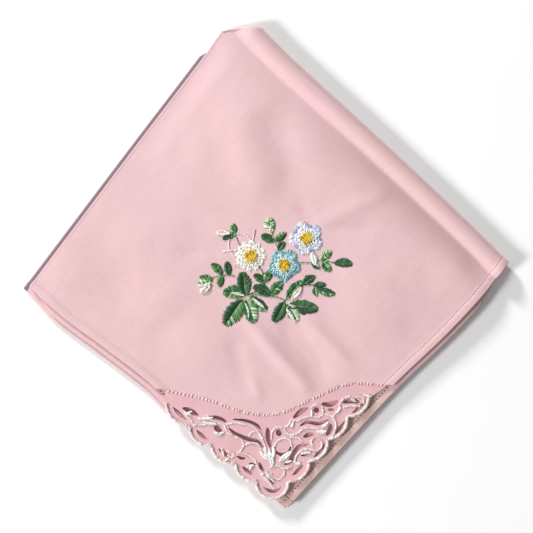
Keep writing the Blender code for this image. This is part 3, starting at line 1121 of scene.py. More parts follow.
# Cut openings, each a band that tapers to both ends: width, then (x, y) points.
LACE_OPENINGS = (
    (1.9, ((-37.0, 13.4), (-33.8, 12.3), (-30.4, 10.2))),
    (2.3, ((-23.6, 5.6), (-20.4, 3.4))),
    (1.5, ((-25.6, 9.8), (-21.4, 9.1), (-18.4, 7.4))),
    (1.6, ((-17.4, 4.8), (-14.4, 2.4), (-9.6, 0.3), (-5.6, -0.6), (-2.6, -3.4))),
    (1.2, ((-15.6, 8.6), (-10.4, 8.1), (-5.8, 6.4), (-3.4, 3.8))),
    (2.0, ((-0.9, 5.0), (-0.5, 0.8), (0.5, -3.6))),
    (1.2, ((-4.4, -9.8), (-3.6, -11.8), (-2.5, -13.6))),
    (0.9, ((-0.3, -16.2), (1.7, -19.2))),
    (1.1, ((-13.9, -7.2), (-12.0, -8.0), (-10.2, -8.1))),
    (1.1, ((-8.8, -10.3), (-5.9, -10.9))),
    (2.6, ((2.9, 2.2), (5.0, 3.4))),
    (1.3, ((2.2, -4.8), (4.8, -6.4), (7.8, -5.6), (9.2, -3.0))),
    (2.0, ((22.2, 15.2), (25.8, 15.0), (29.2, 16.4))),
    (1.2, ((24.8, 12.7), (27.6, 12.8))),
    (2.0, ((10.2, 9.2), (13.4, 11.9), (16.4, 13.4))),
    (2.2, ((18.9, 12.1), (21.1, 12.9))),
    (1.5, ((13.0, 5.8), (16.2, 7.4), (20.2, 6.8), (22.8, 7.4), (25.4, 8.6))),
    (1.8, ((6.3, -10.8), (8.9, -9.1), (10.4, -5.8), (12.9, -2.9), (16.2, -2.2))),
    (1.7, ((14.4, 1.0), (16.6, 2.0), (18.9, 2.3))),
    (1.9, ((24.3, 1.6), (25.8, 4.2), (26.1, 6.6))),
    (1.1, ((13.4, -7.0), (16.6, -5.8))),
    (2.0, ((31.4, 15.8), (35.2, 16.5), (38.4, 16.0))),
)

# Cream cords and scrolls: width, then (x, y) points.
LACE_CORDS = (
    (0.80, ((-36.0, 10.6), (-33.9, 8.7), (-32.0, 6.0))),
    (0.75, ((-31.4, 6.4), (-29.2, 6.1), (-27.0, 6.4))),
    (0.80, ((-26.6, 10.2), (-23.4, 7.6), (-19.4, 6.0), (-17.9, 3.0), (-14.4, 1.2), (-11.8, -0.2),
            (-11.0, -2.6), (-12.6, -5.4))),
    (0.80, ((-18.0, 6.4), (-14.6, 7.1), (-10.6, 6.5), (-7.0, 5.4), (-4.2, 2.6), (-2.5, -1.0),
            (-1.4, -4.8))),
    (0.95, ((-8.7, 1.4), (-7.4, 3.1), (-4.9, 2.9), (-3.3, 0.7))),
    (0.75, ((-11.0, -2.6), (-8.2, -1.6), (-5.2, -1.9), (-3.4, -4.4), (-2.4, -7.0))),
    (0.80, ((-13.3, -5.7), (-9.8, -6.3), (-6.7, -8.2), (-5.4, -10.6), (-4.2, -13.0), (-2.6, -14.8))),
    (0.75, ((-18.0, -4.8), (-16.2, -5.4), (-15.0, -6.9), (-16.4, -7.6), (-17.7, -6.6))),
    (0.80, ((-3.6, -14.8), (-1.0, -17.6), (1.8, -20.8))),
    (0.75, ((0.4, -11.9), (2.8, -11.1), (5.5, -11.9), (6.4, -14.3), (4.7, -16.8), (1.9, -16.2),
            (0.5, -14.6))),
    (0.80, ((0.9, 0.2), (1.0, 2.7), (2.9, 5.1), (5.6, 5.0), (7.4, 2.9))),
    (0.80, ((2.0, -3.0), (3.4, -0.8), (6.1, 0.5), (8.6, -0.3), (9.7, -3.0))),
    (0.80, ((6.4, 5.2), (8.4, 6.3), (9.3, 8.3), (11.8, 8.0), (14.8, 9.2), (17.8, 9.9), (21.0, 9.5),
            (22.9, 11.2), (22.3, 13.9), (19.8, 14.9), (17.8, 13.7))),
    (0.95, ((7.2, 2.7), (9.9, 1.9), (12.4, 2.8), (14.6, 4.6), (17.6, 5.1), (20.8, 4.5))),
    (0.80, ((9.2, 1.1), (12.2, 0.7), (13.8, -0.7))),
    (0.85, ((11.0, -9.4), (11.3, -7.4), (13.7, -4.8), (17.0, -4.1), (20.1, -4.9), (22.1, -3.3),
            (22.2, -0.9), (19.9, 0.5), (17.8, -0.5), (18.4, -2.5))),
    (0.90, ((23.8, 10.9), (26.5, 9.9), (28.0, 8.0), (28.3, 5.3), (27.4, 2.2), (25.8, -0.2))),
    (0.80, ((27.3, 10.1), (29.4, 12.3), (30.1, 15.2), (31.6, 17.3), (34.2, 18.3))),
    (0.90, ((31.8, 13.8), (34.6, 14.4), (38.2, 14.2))),
    (0.75, ((37.6, 18.6), (39.8, 17.8), (40.2, 15.4))),
    (0.75, ((4.8, -12.0), (7.4, -12.4), (9.6, -11.4))),
)

# Bright satin bars and leaves.  Columns: x, y, angle, length, width.
LACE_LEAVES = (
    (0.9, -9.2, 143, 6.4, 1.5),
    (0.9, -9.0, 124, 6.0, 1.3),
    (0.8, -9.0, 103, 5.0, 1.3),
    (1.0, -8.8, 84, 6.0, 1.3),
    (0.7, -7.4, -82, 3.6, 2.1),
    (4.2, -9.3, 38, 6.6, 2.1),
    (-30.4, 9.0, 4, 6.4, 1.1),
    (-28.6, 7.9, -12, 6.2, 1.1),
    (-36.4, 11.6, -22, 3.4, 0.9),
    (-35.6, 10.2, 34, 3.2, 0.9),
    (-23.6, 3.0, -28, 2.6, 1.2),
    (-21.5, 1.8, 30, 2.4, 1.2),
    (-20.3, -4.0, -72, 2.9, 1.0),
    (-19.0, -9.4, 40, 2.0, 0.9),
    (-9.6, -11.6, 12, 3.0, 1.3),
    (-8.4, -13.0, 64, 2.4, 0.9),
    (-1.4, -13.8, -52, 5.6, 0.9),
    (17.9, 12.6, -90, 2.8, 0.9),
    (20.2, 3.4, 0, 4.0, 1.7),
    (22.4, 5.2, 38, 3.4, 1.2),
    (11.2, -10.4, 8, 2.0, 1.5),
    (13.5, -6.0, 8, 4.0, 0.9),
    (34.8, 17.4, -36, 2.4, 1.0),
    (28.6, 11.4, 52, 2.8, 0.9),
    (9.2, 5.2, 68, 2.6, 1.1),
    (40.2, 18.9, -12, 3.2, 0.9),
    (7.0, -9.9, 20, 2.4, 1.0),
)


def corner_point(x, y):
    """World x and y, in metres, of a point in the corner's frame."""
    turn = Matrix.Rotation(VIEW_TURN, 2)
    return (turn @ Vector((x, y)) + CORNER_ORIGIN + CENTRING.xy) * MM


def lace_height(x, y):
    """Height of the lace's middle at a point in metres: level at the seam, lifted past it."""
    uneven = noise.noise(Vector((x / MM / LACE_REACH, y / MM / LACE_REACH, 1.7)))
    past_seam_by = seam_distance(x / MM - CENTRING.x, y / MM - CENTRING.y)
    lifted = ease((past_seam_by - LACE_LEVEL_UNTIL) / SEAM_STILL)
    return (TOP_LEVEL + (LACE_RISE + LACE_UNEVENNESS * uneven) * lifted) * MM


def scallop_arc(start, end, standout, inset=0.0, share=1.0):
    """Points in mm along the arc from one dip to the next, moved in by inset.

    share is how much of the arc is followed, about its middle.
    """
    chord = end - start
    span = chord.length
    radius = (span * span / 4 + standout * standout) / (2 * standout)
    half_angle = math.asin(min(span / 2 / radius, 1.0))
    if standout > radius:
        half_angle = math.pi - half_angle
    out = Vector((chord.y, -chord.x)) / span
    centre = (start + end) / 2 + out * (standout - radius)
    points = []
    for step in range(SCALLOP_STEPS + 1):
        angle = mix(-half_angle, half_angle, step / SCALLOP_STEPS) * share
        points.append(centre + (chord / span * math.sin(angle) + out * math.cos(angle)) * (radius - inset))
    return points


def scallop_rows():
    """Each scallop's start, end and standout."""
    rows = []
    for (x, y, standout), (next_x, next_y, unused) in zip(SCALLOPS, SCALLOPS[1:]):
        rows.append((Vector((x, y)), Vector((next_x, next_y)), standout))
    return rows


def placed(points):
    """Points in millimetres, moved to the world and made metres."""
    return [(Vector(point) + CENTRING.xy) * MM for point in points]


def lace_outline():
    """The lace's outline: its edge under the cloth, then the scallops."""
    outline = list(reversed(seam_path(SEAM_GAP)))
    for start, end, standout in scallop_rows():
        outline += placed(scallop_arc(start, end, standout)[:-1])
    last = SCALLOPS[-1]
    return outline + placed([last[:2]])


def crescents():
    """The thin curved opening inside each scallop."""
    shapes = []
    for index, (start, end, standout) in enumerate(scallop_rows()):
        inset = CRESCENT_INSETS[index > len(SCALLOPS) // 2]
        outer = scallop_arc(start, end, standout, inset, CRESCENT_SHARE)
        chord = (end - start).normalized()
        inward = Vector((-chord.y, chord.x))
        count = len(outer) - 1
        inner = []
        for step in range(count - 1, 0, -1):
            inner.append(outer[step] + inward * CRESCENT_DEPTH * math.sin(math.pi * step / count))
        shapes.append(placed(outer + inner))
    return shapes


def band_outline(width, points):
    """A band along a smooth path in the corner's frame, tapering to both ends."""
    path = smooth_path([Vector(point) for point in points], 6)
    count = len(path) - 1
    left = []
    right = []
    for index, point in enumerate(path):
        heading = (path[min(index + 1, count)] - path[max(index - 1, 0)]).normalized()
        fullness = math.sin(math.pi * mix(*OPENING_ENDS, index / count)) ** OPENING_BLUNTNESS
        side = Vector((-heading.y, heading.x)) * width * OPENING_WIDTH / 2 * fullness
        left.append(corner_point(*(point + side)))
        right.append(corner_point(*(point - side)))
    return left + list(reversed(right))


def make_lace():
    """The lace ground: a thin scalloped sheet with its cut openings."""
    settings = bpy.context.scene.handkerchief_lace
    holes = crescents()
    for width, points in LACE_OPENINGS:
        holes.append(band_outline(width, points))
    ground = flat_curve("lace_ground", [lace_outline()] + holes)
    low = Vector((min(vert.co.x for vert in ground.verts), min(vert.co.y for vert in ground.verts)))
    for axis in range(2):
        normal = Vector((1.0 - axis, float(axis), 0.0))
        for step in range(1, LACE_CUTS + 1):
            place = low[axis] + step * LACE_GRID * MM
            bmesh.ops.bisect_plane(ground, geom=ground.verts[:] + ground.edges[:] + ground.faces[:],
                                   plane_co=normal * place, plane_no=normal)
    flat_area = sum(face.calc_area() for face in ground.faces)
    for vert in ground.verts:
        vert.co.z = lace_height(vert.co.x, vert.co.y)
    bmesh.ops.recalc_face_normals(ground, faces=ground.faces)
    if ground.faces[0].normal.z < 0.0:
        bmesh.ops.reverse_faces(ground, faces=ground.faces)
    mesh = bpy.data.meshes.new("lace_ground")
    ground.to_mesh(mesh)
    ground.free()
    mesh.shade_smooth()
    lace = new_object("lace_ground", mesh)
    solidify = lace.modifiers.new("lace thickness", "SOLIDIFY")
    solidify.thickness = settings.thickness
    solidify.offset = 0.0
    apply_modifiers(lace)
    lace.data.materials.clear()
    lace.data.materials.append(lace_ground_finish())
    lace.data.set_sharp_from_angle(angle=math.radians(50.0))
    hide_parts(CAD_LACE)
    return lace


DRAWS = random.Random(29)

# How often a cord's stitch is cream, rosy cream, white or white in shade.
CORD_SHADES = (5, 2, 8, 2)
# A cord's stitch: its lean along the cord and its reach to each side, as shares of
# the cord's width; its own width as a share of the pitch; its height as a share
# of the cord's.
CORD_LEAN = 0.22
CORD_REACH = (0.44, 0.58)
CORD_STITCH_WIDTH = (0.55, 0.95)
CORD_STITCH_HEIGHT = (0.6, 1.3)


def corded(stitching, path, width, pitch, rise):
    """Lay satin stitches side by side across a path of points in metres."""
    lengths = [0.0]
    for start, end in zip(path, path[1:]):
        lengths.append(lengths[-1] + (end - start).length)
    count = max(round(lengths[-1] / pitch), 2)
    thickness = bpy.context.scene.handkerchief_lace.thickness
    segment = 0
    for step in range(count + 1):
        target = min(lengths[-1] * step / count, lengths[-1] - 1e-9)
        while lengths[segment + 1] < target:
            segment += 1
        start = path[segment]
        end = path[segment + 1]
        share = (target - lengths[segment]) / max(lengths[segment + 1] - lengths[segment], 1e-9)
        place = mix(start, end, share)
        heading = (end - start).normalized()
        side = Vector((-heading.y, heading.x))
        lean = heading * width * CORD_LEAN
        reach = side * width * DRAWS.uniform(*CORD_REACH)
        base = lace_height(place.x, place.y) + thickness * ON_LACE
        shade = DRAWS.choices((0, 1, 2, 3), CORD_SHADES)[0]
        stitching.add(Vector((*(place - reach - lean), base)), Vector((*(place + reach + lean), base)),
                      pitch * DRAWS.uniform(*CORD_STITCH_WIDTH),
                      rise * DRAWS.uniform(*CORD_STITCH_HEIGHT), shade)


# How often a leaf's stitch has its usual, its darker and its brighter shade.
LEAF_TONES = (55, 30, 15)
# A leaf's shape: half width beside its table's width, the part of a sine that its
# outline follows, how far that is skewed to the base, and how full it is.
LEAF_FULLNESS = 0.62
LEAF_ENDS = (0.05, 0.97)
LEAF_SKEW = 0.88
LEAF_BLUNTNESS = 0.8
LEAF_BEND = 0.08
# A leaf's stitch: where it starts behind and ends ahead on the rib, as shares of
# the leaf's length; how far past the rib it starts; and its reach and height.
STITCH_BEHIND = 0.06
STITCH_AHEAD = 0.10
STITCH_OVERLAP = 0.28
STITCH_REACH = (0.88, 1.10)
STITCH_HEIGHT = (0.8, 1.3)


def satin_leaf(stitching, place, x, y, angle, size, widths, shades):
    """A leaf of satin stitches that slant from its midrib to its edge.

    size is its length and width; widths are the thread's width, pitch and rise;
    shades are each side's usual, darker and brighter shade.
    """
    leaf_length, leaf_width = size
    thread_width, pitch, rise = widths
    heading = Vector((math.cos(math.radians(angle)), math.sin(math.radians(angle))))
    side = Vector((-heading.y, heading.x))
    bend = DRAWS.uniform(-LEAF_BEND, LEAF_BEND) * leaf_length
    count = max(round(leaf_length / pitch), 3)

    def rib(share):
        return Vector((x, y)) + heading * leaf_length * share + side * bend * math.sin(math.pi * share)

    for step in range(count + 1):
        share = step / count
        outline = math.sin(math.pi * mix(*LEAF_ENDS, share) ** LEAF_SKEW) ** LEAF_BLUNTNESS
        half = leaf_width * LEAF_FULLNESS * outline
        for direction, tones in ((1.0, shades[0]), (-1.0, shades[1])):
            start = rib(max(share - STITCH_BEHIND, 0.0)) - side * direction * STITCH_OVERLAP
            reach = half * DRAWS.uniform(*STITCH_REACH)
            end = rib(min(share + STITCH_AHEAD, 1.0)) + side * direction * reach
            tone = DRAWS.choices(tones, LEAF_TONES)[0]
            height = rise * MM * DRAWS.uniform(*STITCH_HEIGHT)
            stitching.add(place(start), place(end), thread_width * MM, height, tone)


def lace_place(point):
    """World place on the lace's upper face of a point in the corner's frame."""
    spot = corner_point(point.x, point.y)
    settings = bpy.context.scene.handkerchief_lace
    return Vector((*spot, lace_height(*spot) + settings.thickness * ON_LACE))


# Height of the corded edge and of the cords, the cords' pitch beside the edge's,
# and the bright leaves' thread width, pitch and rise.
EDGE_RISE = 0.95
CORD_RISE = 0.75
CORD_PITCH = 1.1
LACE_LEAF_WIDTHS = (0.5, 0.42, 0.8)


def make_lace_threads():
    """Corded scallop edge, corded openings, scrolls and bright satin leaves."""
    settings = bpy.context.scene.handkerchief_lace
    stitching = Stitching(4)
    for start, end, standout in scallop_rows():
        edge = placed(scallop_arc(start, end, standout, EDGE_INSET))
        corded(stitching, edge, settings.edge_width, settings.stitch_pitch, EDGE_RISE * MM)
    for width, points in LACE_CORDS:
        path = smooth_path([Vector(point) for point in points], 8)
        path = [corner_point(point.x, point.y) for point in path]
        corded(stitching, path, settings.cord_width * width, settings.stitch_pitch * CORD_PITCH,
               CORD_RISE * MM)
    for x, y, angle, leaf_length, leaf_width in LACE_LEAVES:
        satin_leaf(stitching, lace_place, x, y, angle, (leaf_length, leaf_width), LACE_LEAF_WIDTHS,
                   ((2, 3, 2), (2, 3, 2)))
    cream = tuple(settings.cream)
    white = tuple(settings.white)
    return stitching.finish("lace_threads", [
        thread_finish("cream satin", cream),
        thread_finish("rosy cream satin", (0.80, 0.55, 0.52)),
        thread_finish("white satin", white),
        thread_finish("white satin in shade", scaled_colour(white, 0.88)),
    ])


# The seam's zigzag: its pitch, its half width, how far a stitch leans and strays
# along the seam, and how its reach varies.
SEAM_PITCH = 1.7
SEAM_HALF_WIDTH = 0.6
SEAM_LEAN = 0.3
SEAM_STRAY = 0.15
SEAM_REACH = (0.8, 1.15)
SEAM_STITCH_SIZE = (0.74, 0.42)
# Share of the cloth's thickness, from its middle, at which the seam's stitches lie.
ON_SEAM = 0.42
# Pin holes, each a short dark stitch that stands for the painted shade in a hole: how often
# there is one beside the lace and beside the cloth, how far off the stitch it is, its half
# length, and its width and height.
PIN_CHANCES = (0.9, 0.55)
PIN_OFFSET = 0.75
PIN_HALF_LENGTH = 0.22
PIN_SIZE = (0.40, 0.26)


def make_seam_stitches():
    """The pin stitch that joins cloth and lace: a zigzag between two rows of small holes, shade painted by
    dark stitches.
    """
    cloth = bpy.context.scene.handkerchief_cloth
    stitching = Stitching(2)
    path = smooth_path(SEAM, 12)
    top = TOP_LEVEL * MM + cloth.thickness * ON_SEAM
    stitch_width, stitch_height = [size * MM for size in SEAM_STITCH_SIZE]
    pin_width, pin_height = [size * MM for size in PIN_SIZE]
    travelled = 0.0
    for start, end in zip(path, path[1:]):
        travelled += (end - start).length
        if travelled < SEAM_PITCH:
            continue
        travelled -= SEAM_PITCH
        heading = (end - start).normalized()
        side = Vector((-heading.y, heading.x))
        middle = start + CENTRING.xy + heading * DRAWS.uniform(-SEAM_STRAY, SEAM_STRAY)
        reach = side * SEAM_HALF_WIDTH * DRAWS.uniform(*SEAM_REACH)
        lean = heading * SEAM_LEAN
        low = Vector((*((middle - reach - lean) * MM), top))
        high = Vector((*((middle + reach + lean) * MM), top))
        stitching.add(low, high, stitch_width, stitch_height, 0)
        for spot, chance in zip((low, high), PIN_CHANCES):
            if DRAWS.random() > chance:
                continue
            along = Vector((heading.x, heading.y, 0.0)) * PIN_HALF_LENGTH * MM
            aside = Vector((heading.x, heading.y, 0.0)) * PIN_OFFSET * MM
            stitching.add(spot + aside - along, spot + aside + along, pin_width, pin_height, 1)
    thread = tuple(cloth.hem_thread)
    return stitching.finish("seam_stitches", [
        thread_finish("seam thread", scaled_colour(thread, 1.12), 0.55),
        # Dark thread of the pin holes: painted shade.
        thread_finish("pin holes", scaled_colour(thread, 0.55), 0.8),
    ])


# ---------------------------------------------------------------------------
# The embroidered spray
# ---------------------------------------------------------------------------

# The spray's own frame: x to the right and y up as one looks at it.
SPRAY_ORIGIN = Vector((5.6, 0.3))

THREADS = {
    "deep green": (0.010, 0.070, 0.020),
    "green": (0.027, 0.125, 0.028),
    "light green": (0.100, 0.280, 0.072),
    "pale green": (0.430, 0.600, 0.360),
    "white": (0.860, 0.850, 0.800),
    "cream": (0.860, 0.730, 0.600),
    "teal": (0.130, 0.330, 0.370),
    "light teal": (0.290, 0.530, 0.560),
    "pale teal": (0.600, 0.790, 0.790),
    "lavender": (0.350, 0.370, 0.540),
    "light lavender": (0.560, 0.600, 0.740),
    "silver": (0.780, 0.800, 0.850),
    "gold": (0.940, 0.660, 0.045),
    "dark gold": (0.520, 0.290, 0.020),
    "mauve": (0.560, 0.360, 0.470),
}

# Columns: x and y of the base, angle, length, width, thread of each side.
LEAVES = (
    (-12.4, -9.0, 98, 10.2, 6.0, "deep green", "green"),
    (-12.4, -8.9, 172, 9.8, 5.4, "light green", "green"),
    (-13.6, -10.6, 235, 13.4, 7.0, "light green", "deep green"),
    (-12.2, -10.6, 289, 10.6, 6.0, "pale green", "green"),
    (-10.6, -9.2, 321, 9.4, 4.8, "green", "light green"),
    (-4.2, -3.8, 141, 6.0, 3.2, "green", "deep green"),
    (-4.2, -3.2, 65, 5.4, 3.8, "light green", "green"),
    (-1.6, -9.2, 151, 8.6, 4.4, "deep green", "deep green"),
    (-1.8, -8.8, 47, 7.6, 4.4, "green", "light green"),
    (4.0, -11.4, 242, 9.8, 5.2, "green", "deep green"),
    (5.2, -12.2, 302, 9.0, 4.8, "pale green", "light green"),
    (5.6, -13.0, 352, 13.0, 5.6, "green", "deep green"),
    (5.0, -10.2, 48, 10.0, 4.4, "green", "light green"),
    (12.0, -4.2, 34, 6.2, 3.6, "deep green", "green"),
    (16.4, -4.8, 4, 5.4, 2.6, "green", "deep green"),
    (18.0, -6.2, -16, 8.0, 3.2, "deep green", "light green"),
    (17.2, -5.0, -80, 4.4, 2.2, "pale green", "green"),
    (19.8, 6.4, 40, 5.6, 3.5, "pale green", "light green"),
    (20.2, 5.8, -48, 5.8, 3.4, "light green", "green"),
    (25.2, 4.8, -3, 7.8, 3.7, "green", "deep green"),
    (15.4, 5.0, -31, 4.6, 2.4, "pale green", "green"),
    (-1.6, 18.2, 94, 6.0, 4.8, "pale green", "light green"),
    (-0.2, 13.8, 152, 6.2, 3.6, "green", "deep green"),
    (0.2, 14.2, 37, 5.8, 3.4, "light green", "deep green"),
    (1.4, 10.4, 48, 4.4, 3.0, "deep green", "green"),
    (-17.2, 17.2, 96, 4.4, 3.0, "light green", "green"),
    (-16.8, 16.8, 197, 5.6, 2.8, "deep green", "green"),
    (-22.4, -0.2, 133, 6.6, 3.4, "light green", "green"),
    (-19.4, -0.4, 100, 6.0, 3.2, "green", "deep green"),
    (-22.2, -0.6, 255, 4.8, 3.1, "green", "light green"),
    (-26.4, -2.4, 166, 5.8, 2.4, "light green", "green"),
)

# Pale buds and leaf tips, in the same columns.
BUDS = (
    (-12.8, -9.0, 168, 5.2, 1.4, "white", "pale green"),
    (-9.4, -10.2, 322, 6.4, 1.4, "white", "white"),
    (-12.6, -12.0, 284, 6.6, 1.0, "pale teal", "pale green"),
    (5.0, -14.6, 304, 6.6, 1.5, "white", "white"),
    (7.2, -10.4, 50, 6.6, 2.6, "cream", "white"),
    (17.2, 3.9, 104, 5.6, 2.5, "white", "silver"),
    (-19.0, 17.4, 176, 5.8, 2.1, "white", "cream"),
    (-27.2, -3.0, 190, 5.6, 3.4, "white", "pale green"),
    (-27.4, -4.6, 214, 5.0, 3.0, "cream", "white"),
    (-1.4, 17.8, 98, 2.6, 2.2, "cream", "pale green"),
)

# Stems and tendrils: thread, width, then (x, y) points.
STEMS = (
    ("light green", 0.50, ((-12.2, -9.0), (-9.0, -8.4), (-5.4, -9.0), (-1.8, -9.2), (1.6, -9.8),
                           (4.6, -11.2))),
    ("green", 0.55, ((-4.2, -3.6), (-6.0, -5.2), (-8.6, -7.4), (-11.6, -8.6))),
    ("green", 0.50, ((4.6, -11.0), (6.8, -8.4), (12.0, -4.6), (17.4, -4.6))),
    ("pale green", 0.45, ((1.2, 10.6), (0.0, 13.6), (-0.8, 16.0), (-1.6, 18.4))),
    ("light green", 0.45, ((-14.8, 12.4), (-16.0, 14.8), (-17.0, 17.2), (-19.2, 17.6))),
    ("light green", 0.45, ((10.8, 5.2), (14.6, 5.0), (19.4, 6.0), (25.6, 5.0))),
    ("light green", 0.45, ((-17.0, -0.6), (-20.6, -0.2), (-24.0, -0.6), (-27.0, -1.4))),
    ("white", 0.34, ((-16.4, 17.4), (-19.0, 15.4), (-19.6, 12.0), (-18.4, 9.2), (-16.6, 7.6))),
    ("white", 0.34, ((-16.4, 17.4), (-13.4, 17.2), (-10.8, 15.8), (-9.4, 13.4))),
    ("white", 0.42, ((-22.0, 9.8), (-19.0, 10.2), (-16.0, 10.4))),
    ("cream", 0.40, ((-9.4, 13.6), (-8.8, 16.4))),
    ("mauve", 0.40, ((-8.8, 16.4), (-8.2, 19.2))),
    ("cream", 0.34, ((-17.6, 4.0), (-15.4, 3.4), (-13.2, 4.2))),
    ("deep green", 0.40, ((-7.0, 3.6), (-5.4, 1.6), (-4.4, -1.6))),
)

# Flowers.  Columns: x, y, reach, petals, waist between petals, threads from the
# middle out, and the turn of the first petal.
FLOWERS = (
    (-10.2, 7.9, 7.0, 12, 0.78, ("cream", "white", "white"), 10),
    (4.1, 4.0, 7.6, 5, 0.72, ("pale teal", "light teal", "teal"), 20),
    (13.6, 15.4, 7.6, 5, 0.74, ("silver", "silver", "light lavender"), 4),
)
FLOWER_HEART = 2.5


def spray_place(tree):
    """A function that puts a point of the spray's frame on the cloth."""
    turn = Matrix.Rotation(VIEW_TURN, 2)

    def place(point):
        spot = (turn @ Vector((point[0], point[1])) + SPRAY_ORIGIN + CENTRING.xy) * MM
        return Vector((*spot, height_on(tree, spot.x, spot.y, TOP_LEVEL * MM)))

    return place


def thread_set(names):
    """Materials for named threads, and each name's index."""
    materials = [thread_finish("thread " + name, THREADS[name]) for name in names]
    return materials, {name: index for index, name in enumerate(names)}


def embroidery_widths():
    """The thread's width, pitch and rise in millimetres."""
    settings = bpy.context.scene.handkerchief_embroidery
    return settings.thread_width / MM, settings.stitch_pitch / MM, settings.rise / MM


# The thread that a leaf's darker or brighter stitch takes instead of its own, and
# how much higher than the embroidery's rise leaves and buds stand.
DARKER = {"green": "deep green", "light green": "green", "pale green": "light green"}
BRIGHTER = {
    "deep green": "green",
    "green": "light green",
    "light green": "pale green",
    "pale green": "white",
}
LEAF_LIFT = 1.0
BUD_LIFT = 1.6


def make_leaves(tree):
    """Leaves, buds and stems of the spray."""
    names = ("deep green", "green", "light green", "pale green", "white", "cream", "silver",
             "pale teal", "mauve")
    materials, index = thread_set(names)
    stitching = Stitching(len(names))
    place = spray_place(tree)
    widths = embroidery_widths()
    for rows, lift in ((LEAVES, LEAF_LIFT), (BUDS, BUD_LIFT)):
        for x, y, angle, leaf_length, leaf_width, left, right in rows:
            shades = [(index[side], index[DARKER.get(side, side)], index[BRIGHTER.get(side, side)])
                      for side in (left, right)]
            satin_leaf(stitching, place, x, y, angle, (leaf_length, leaf_width),
                       (widths[0], widths[1], widths[2] * lift), shades)
    for name, width, points in STEMS:
        path = smooth_path([Vector(point) for point in points], 6)
        run_stitches(stitching, place, path, width, widths[2], index[name])
    return stitching.finish("spray_leaves", materials)


RUN_LENGTH = 1.3
RUN_OVERLAP = 0.15


def run_stitches(stitching, place, path, width, rise, shade):
    """Overlapping stitches laid end to end along a path."""
    travelled = 0.0
    start = path[0]
    for point, following in zip(path, path[1:]):
        travelled += (following - point).length
        if travelled >= RUN_LENGTH or following is path[-1]:
            overlap = (following - start) * RUN_OVERLAP
            stitching.add(place(start - overlap), place(following + overlap), width * MM, rise * MM, shade)
            start = following
            travelled = 0.0


# Rings of stitches from the middle out: where each starts and ends, as shares of
# the petal's length, how much denser than side by side they are, and their rise.
FLOWER_RINGS = ((0.28, 0.58), (0.45, 0.80), (0.66, 1.0))
RING_DENSITY = 1.15
RING_RISE = (1.5, 0.9)
PETAL_ROUNDNESS = 0.6
# The thread at the rim and between petals, instead of the outer ring's own.
RIMS = {"teal": "teal", "light lavender": "lavender"}
BETWEEN_PETALS = 0.45
# Below the first draw a stitch takes the next ring's thread in, and above the second
# the rim's.
INNER_DRAW = 0.42
RIM_DRAW = 0.90
# Knots of the golden heart: how many, the turn from each to the next, and their
# half length, width, height and lift beside the embroidery's.
HEART_KNOTS = 46
KNOT_TURN = 2.39996
KNOT_HALF_LENGTH = 0.55
KNOT_WIDTH = 1.15
KNOT_HEIGHT = 1.9
KNOT_LIFT = 0.5


def make_flowers(tree):
    """The three flowers, in long and short stitches round their golden hearts."""
    names = ("cream", "white", "silver", "pale teal", "light teal", "teal", "light lavender", "lavender",
             "gold", "dark gold")
    materials, index = thread_set(names)
    stitching = Stitching(len(names))
    place = spray_place(tree)
    width, pitch, rise = embroidery_widths()
    for x, y, reach, petals, waist, threads, turn in FLOWERS:
        centre = Vector((x, y))
        for ring, ((inner, outer), name) in enumerate(zip(FLOWER_RINGS, threads)):
            count = round(2.0 * math.pi * reach * (inner + outer) / 2 / pitch * RING_DENSITY)
            for step in range(count):
                heading = 2.0 * math.pi * (step + DRAWS.uniform(-0.3, 0.3)) / count
                in_petal = abs(math.sin((heading - math.radians(turn)) * petals / 2.0))
                edge = reach * mix(waist, 1.0, in_petal ** PETAL_ROUNDNESS)
                spoke = Vector((math.cos(heading), math.sin(heading)))
                slant = Vector((-spoke.y, spoke.x)) * DRAWS.uniform(-0.25, 0.25)
                start = centre + spoke * edge * (inner + DRAWS.uniform(-0.05, 0.05))
                end = centre + spoke * edge * min(outer + DRAWS.uniform(-0.10, 0.06), 1.02) + slant
                shade = name
                draw = DRAWS.random()
                if ring == 2 and in_petal < BETWEEN_PETALS and name in RIMS:
                    shade = RIMS[name]
                elif draw < INNER_DRAW:
                    shade = threads[max(ring - 1, 0)]
                elif draw > RIM_DRAW and name in RIMS:
                    shade = RIMS[name]
                lift = rise * mix(*RING_RISE, ring / 2) * DRAWS.uniform(0.8, 1.25)
                stitching.add(place(start), place(end), width * MM, lift * MM, index[shade])
        for knot in range(HEART_KNOTS):
            out = FLOWER_HEART * math.sqrt(knot / HEART_KNOTS)
            around = knot * KNOT_TURN
            spot = centre + Vector((math.cos(around), math.sin(around))) * out
            lean = DRAWS.uniform(0.0, math.pi)
            half = Vector((math.cos(lean), math.sin(lean))) * KNOT_HALF_LENGTH
            shade = "dark gold" if DRAWS.random() < 0.22 + 0.2 * out / FLOWER_HEART else "gold"
            lift = Vector((0.0, 0.0, rise * KNOT_LIFT * MM))
            stitching.add(place(spot - half) + lift, place(spot + half) + lift,
                          width * KNOT_WIDTH * MM, rise * KNOT_HEIGHT * MM, index[shade])
    return stitching.finish("spray_flowers", materials)


# ---------------------------------------------------------------------------
# Stage
# ---------------------------------------------------------------------------

VIEW_CENTRE = Vector((0.34 * MM, 0.79 * MM, 0.0))
LENS = 85.0
SENSOR = 36.0
FLOOR_HALF_SIDE = 3.0
LAMP_DISTANCE = 2.4
# The lamps.  Columns: name, power's setting, size, azimuth from the view's right,
# elevation.
LAMPS = (
    ("key_light", "key_power", 0.50, 203.0, 31.0),
    ("top_light", "top_power", 0.40, 124.0, 23.0),
)


def matte_finish(name, base):
    """A smooth pale floor with the faintest grain."""
    finish = Finish(name, 0.9)
    grain = finish.noise(finish.place("Object"), 60.0, 2.0)
    finish.colour(finish.blend(grain, scaled_colour(base, 0.99), base))
    return finish.material


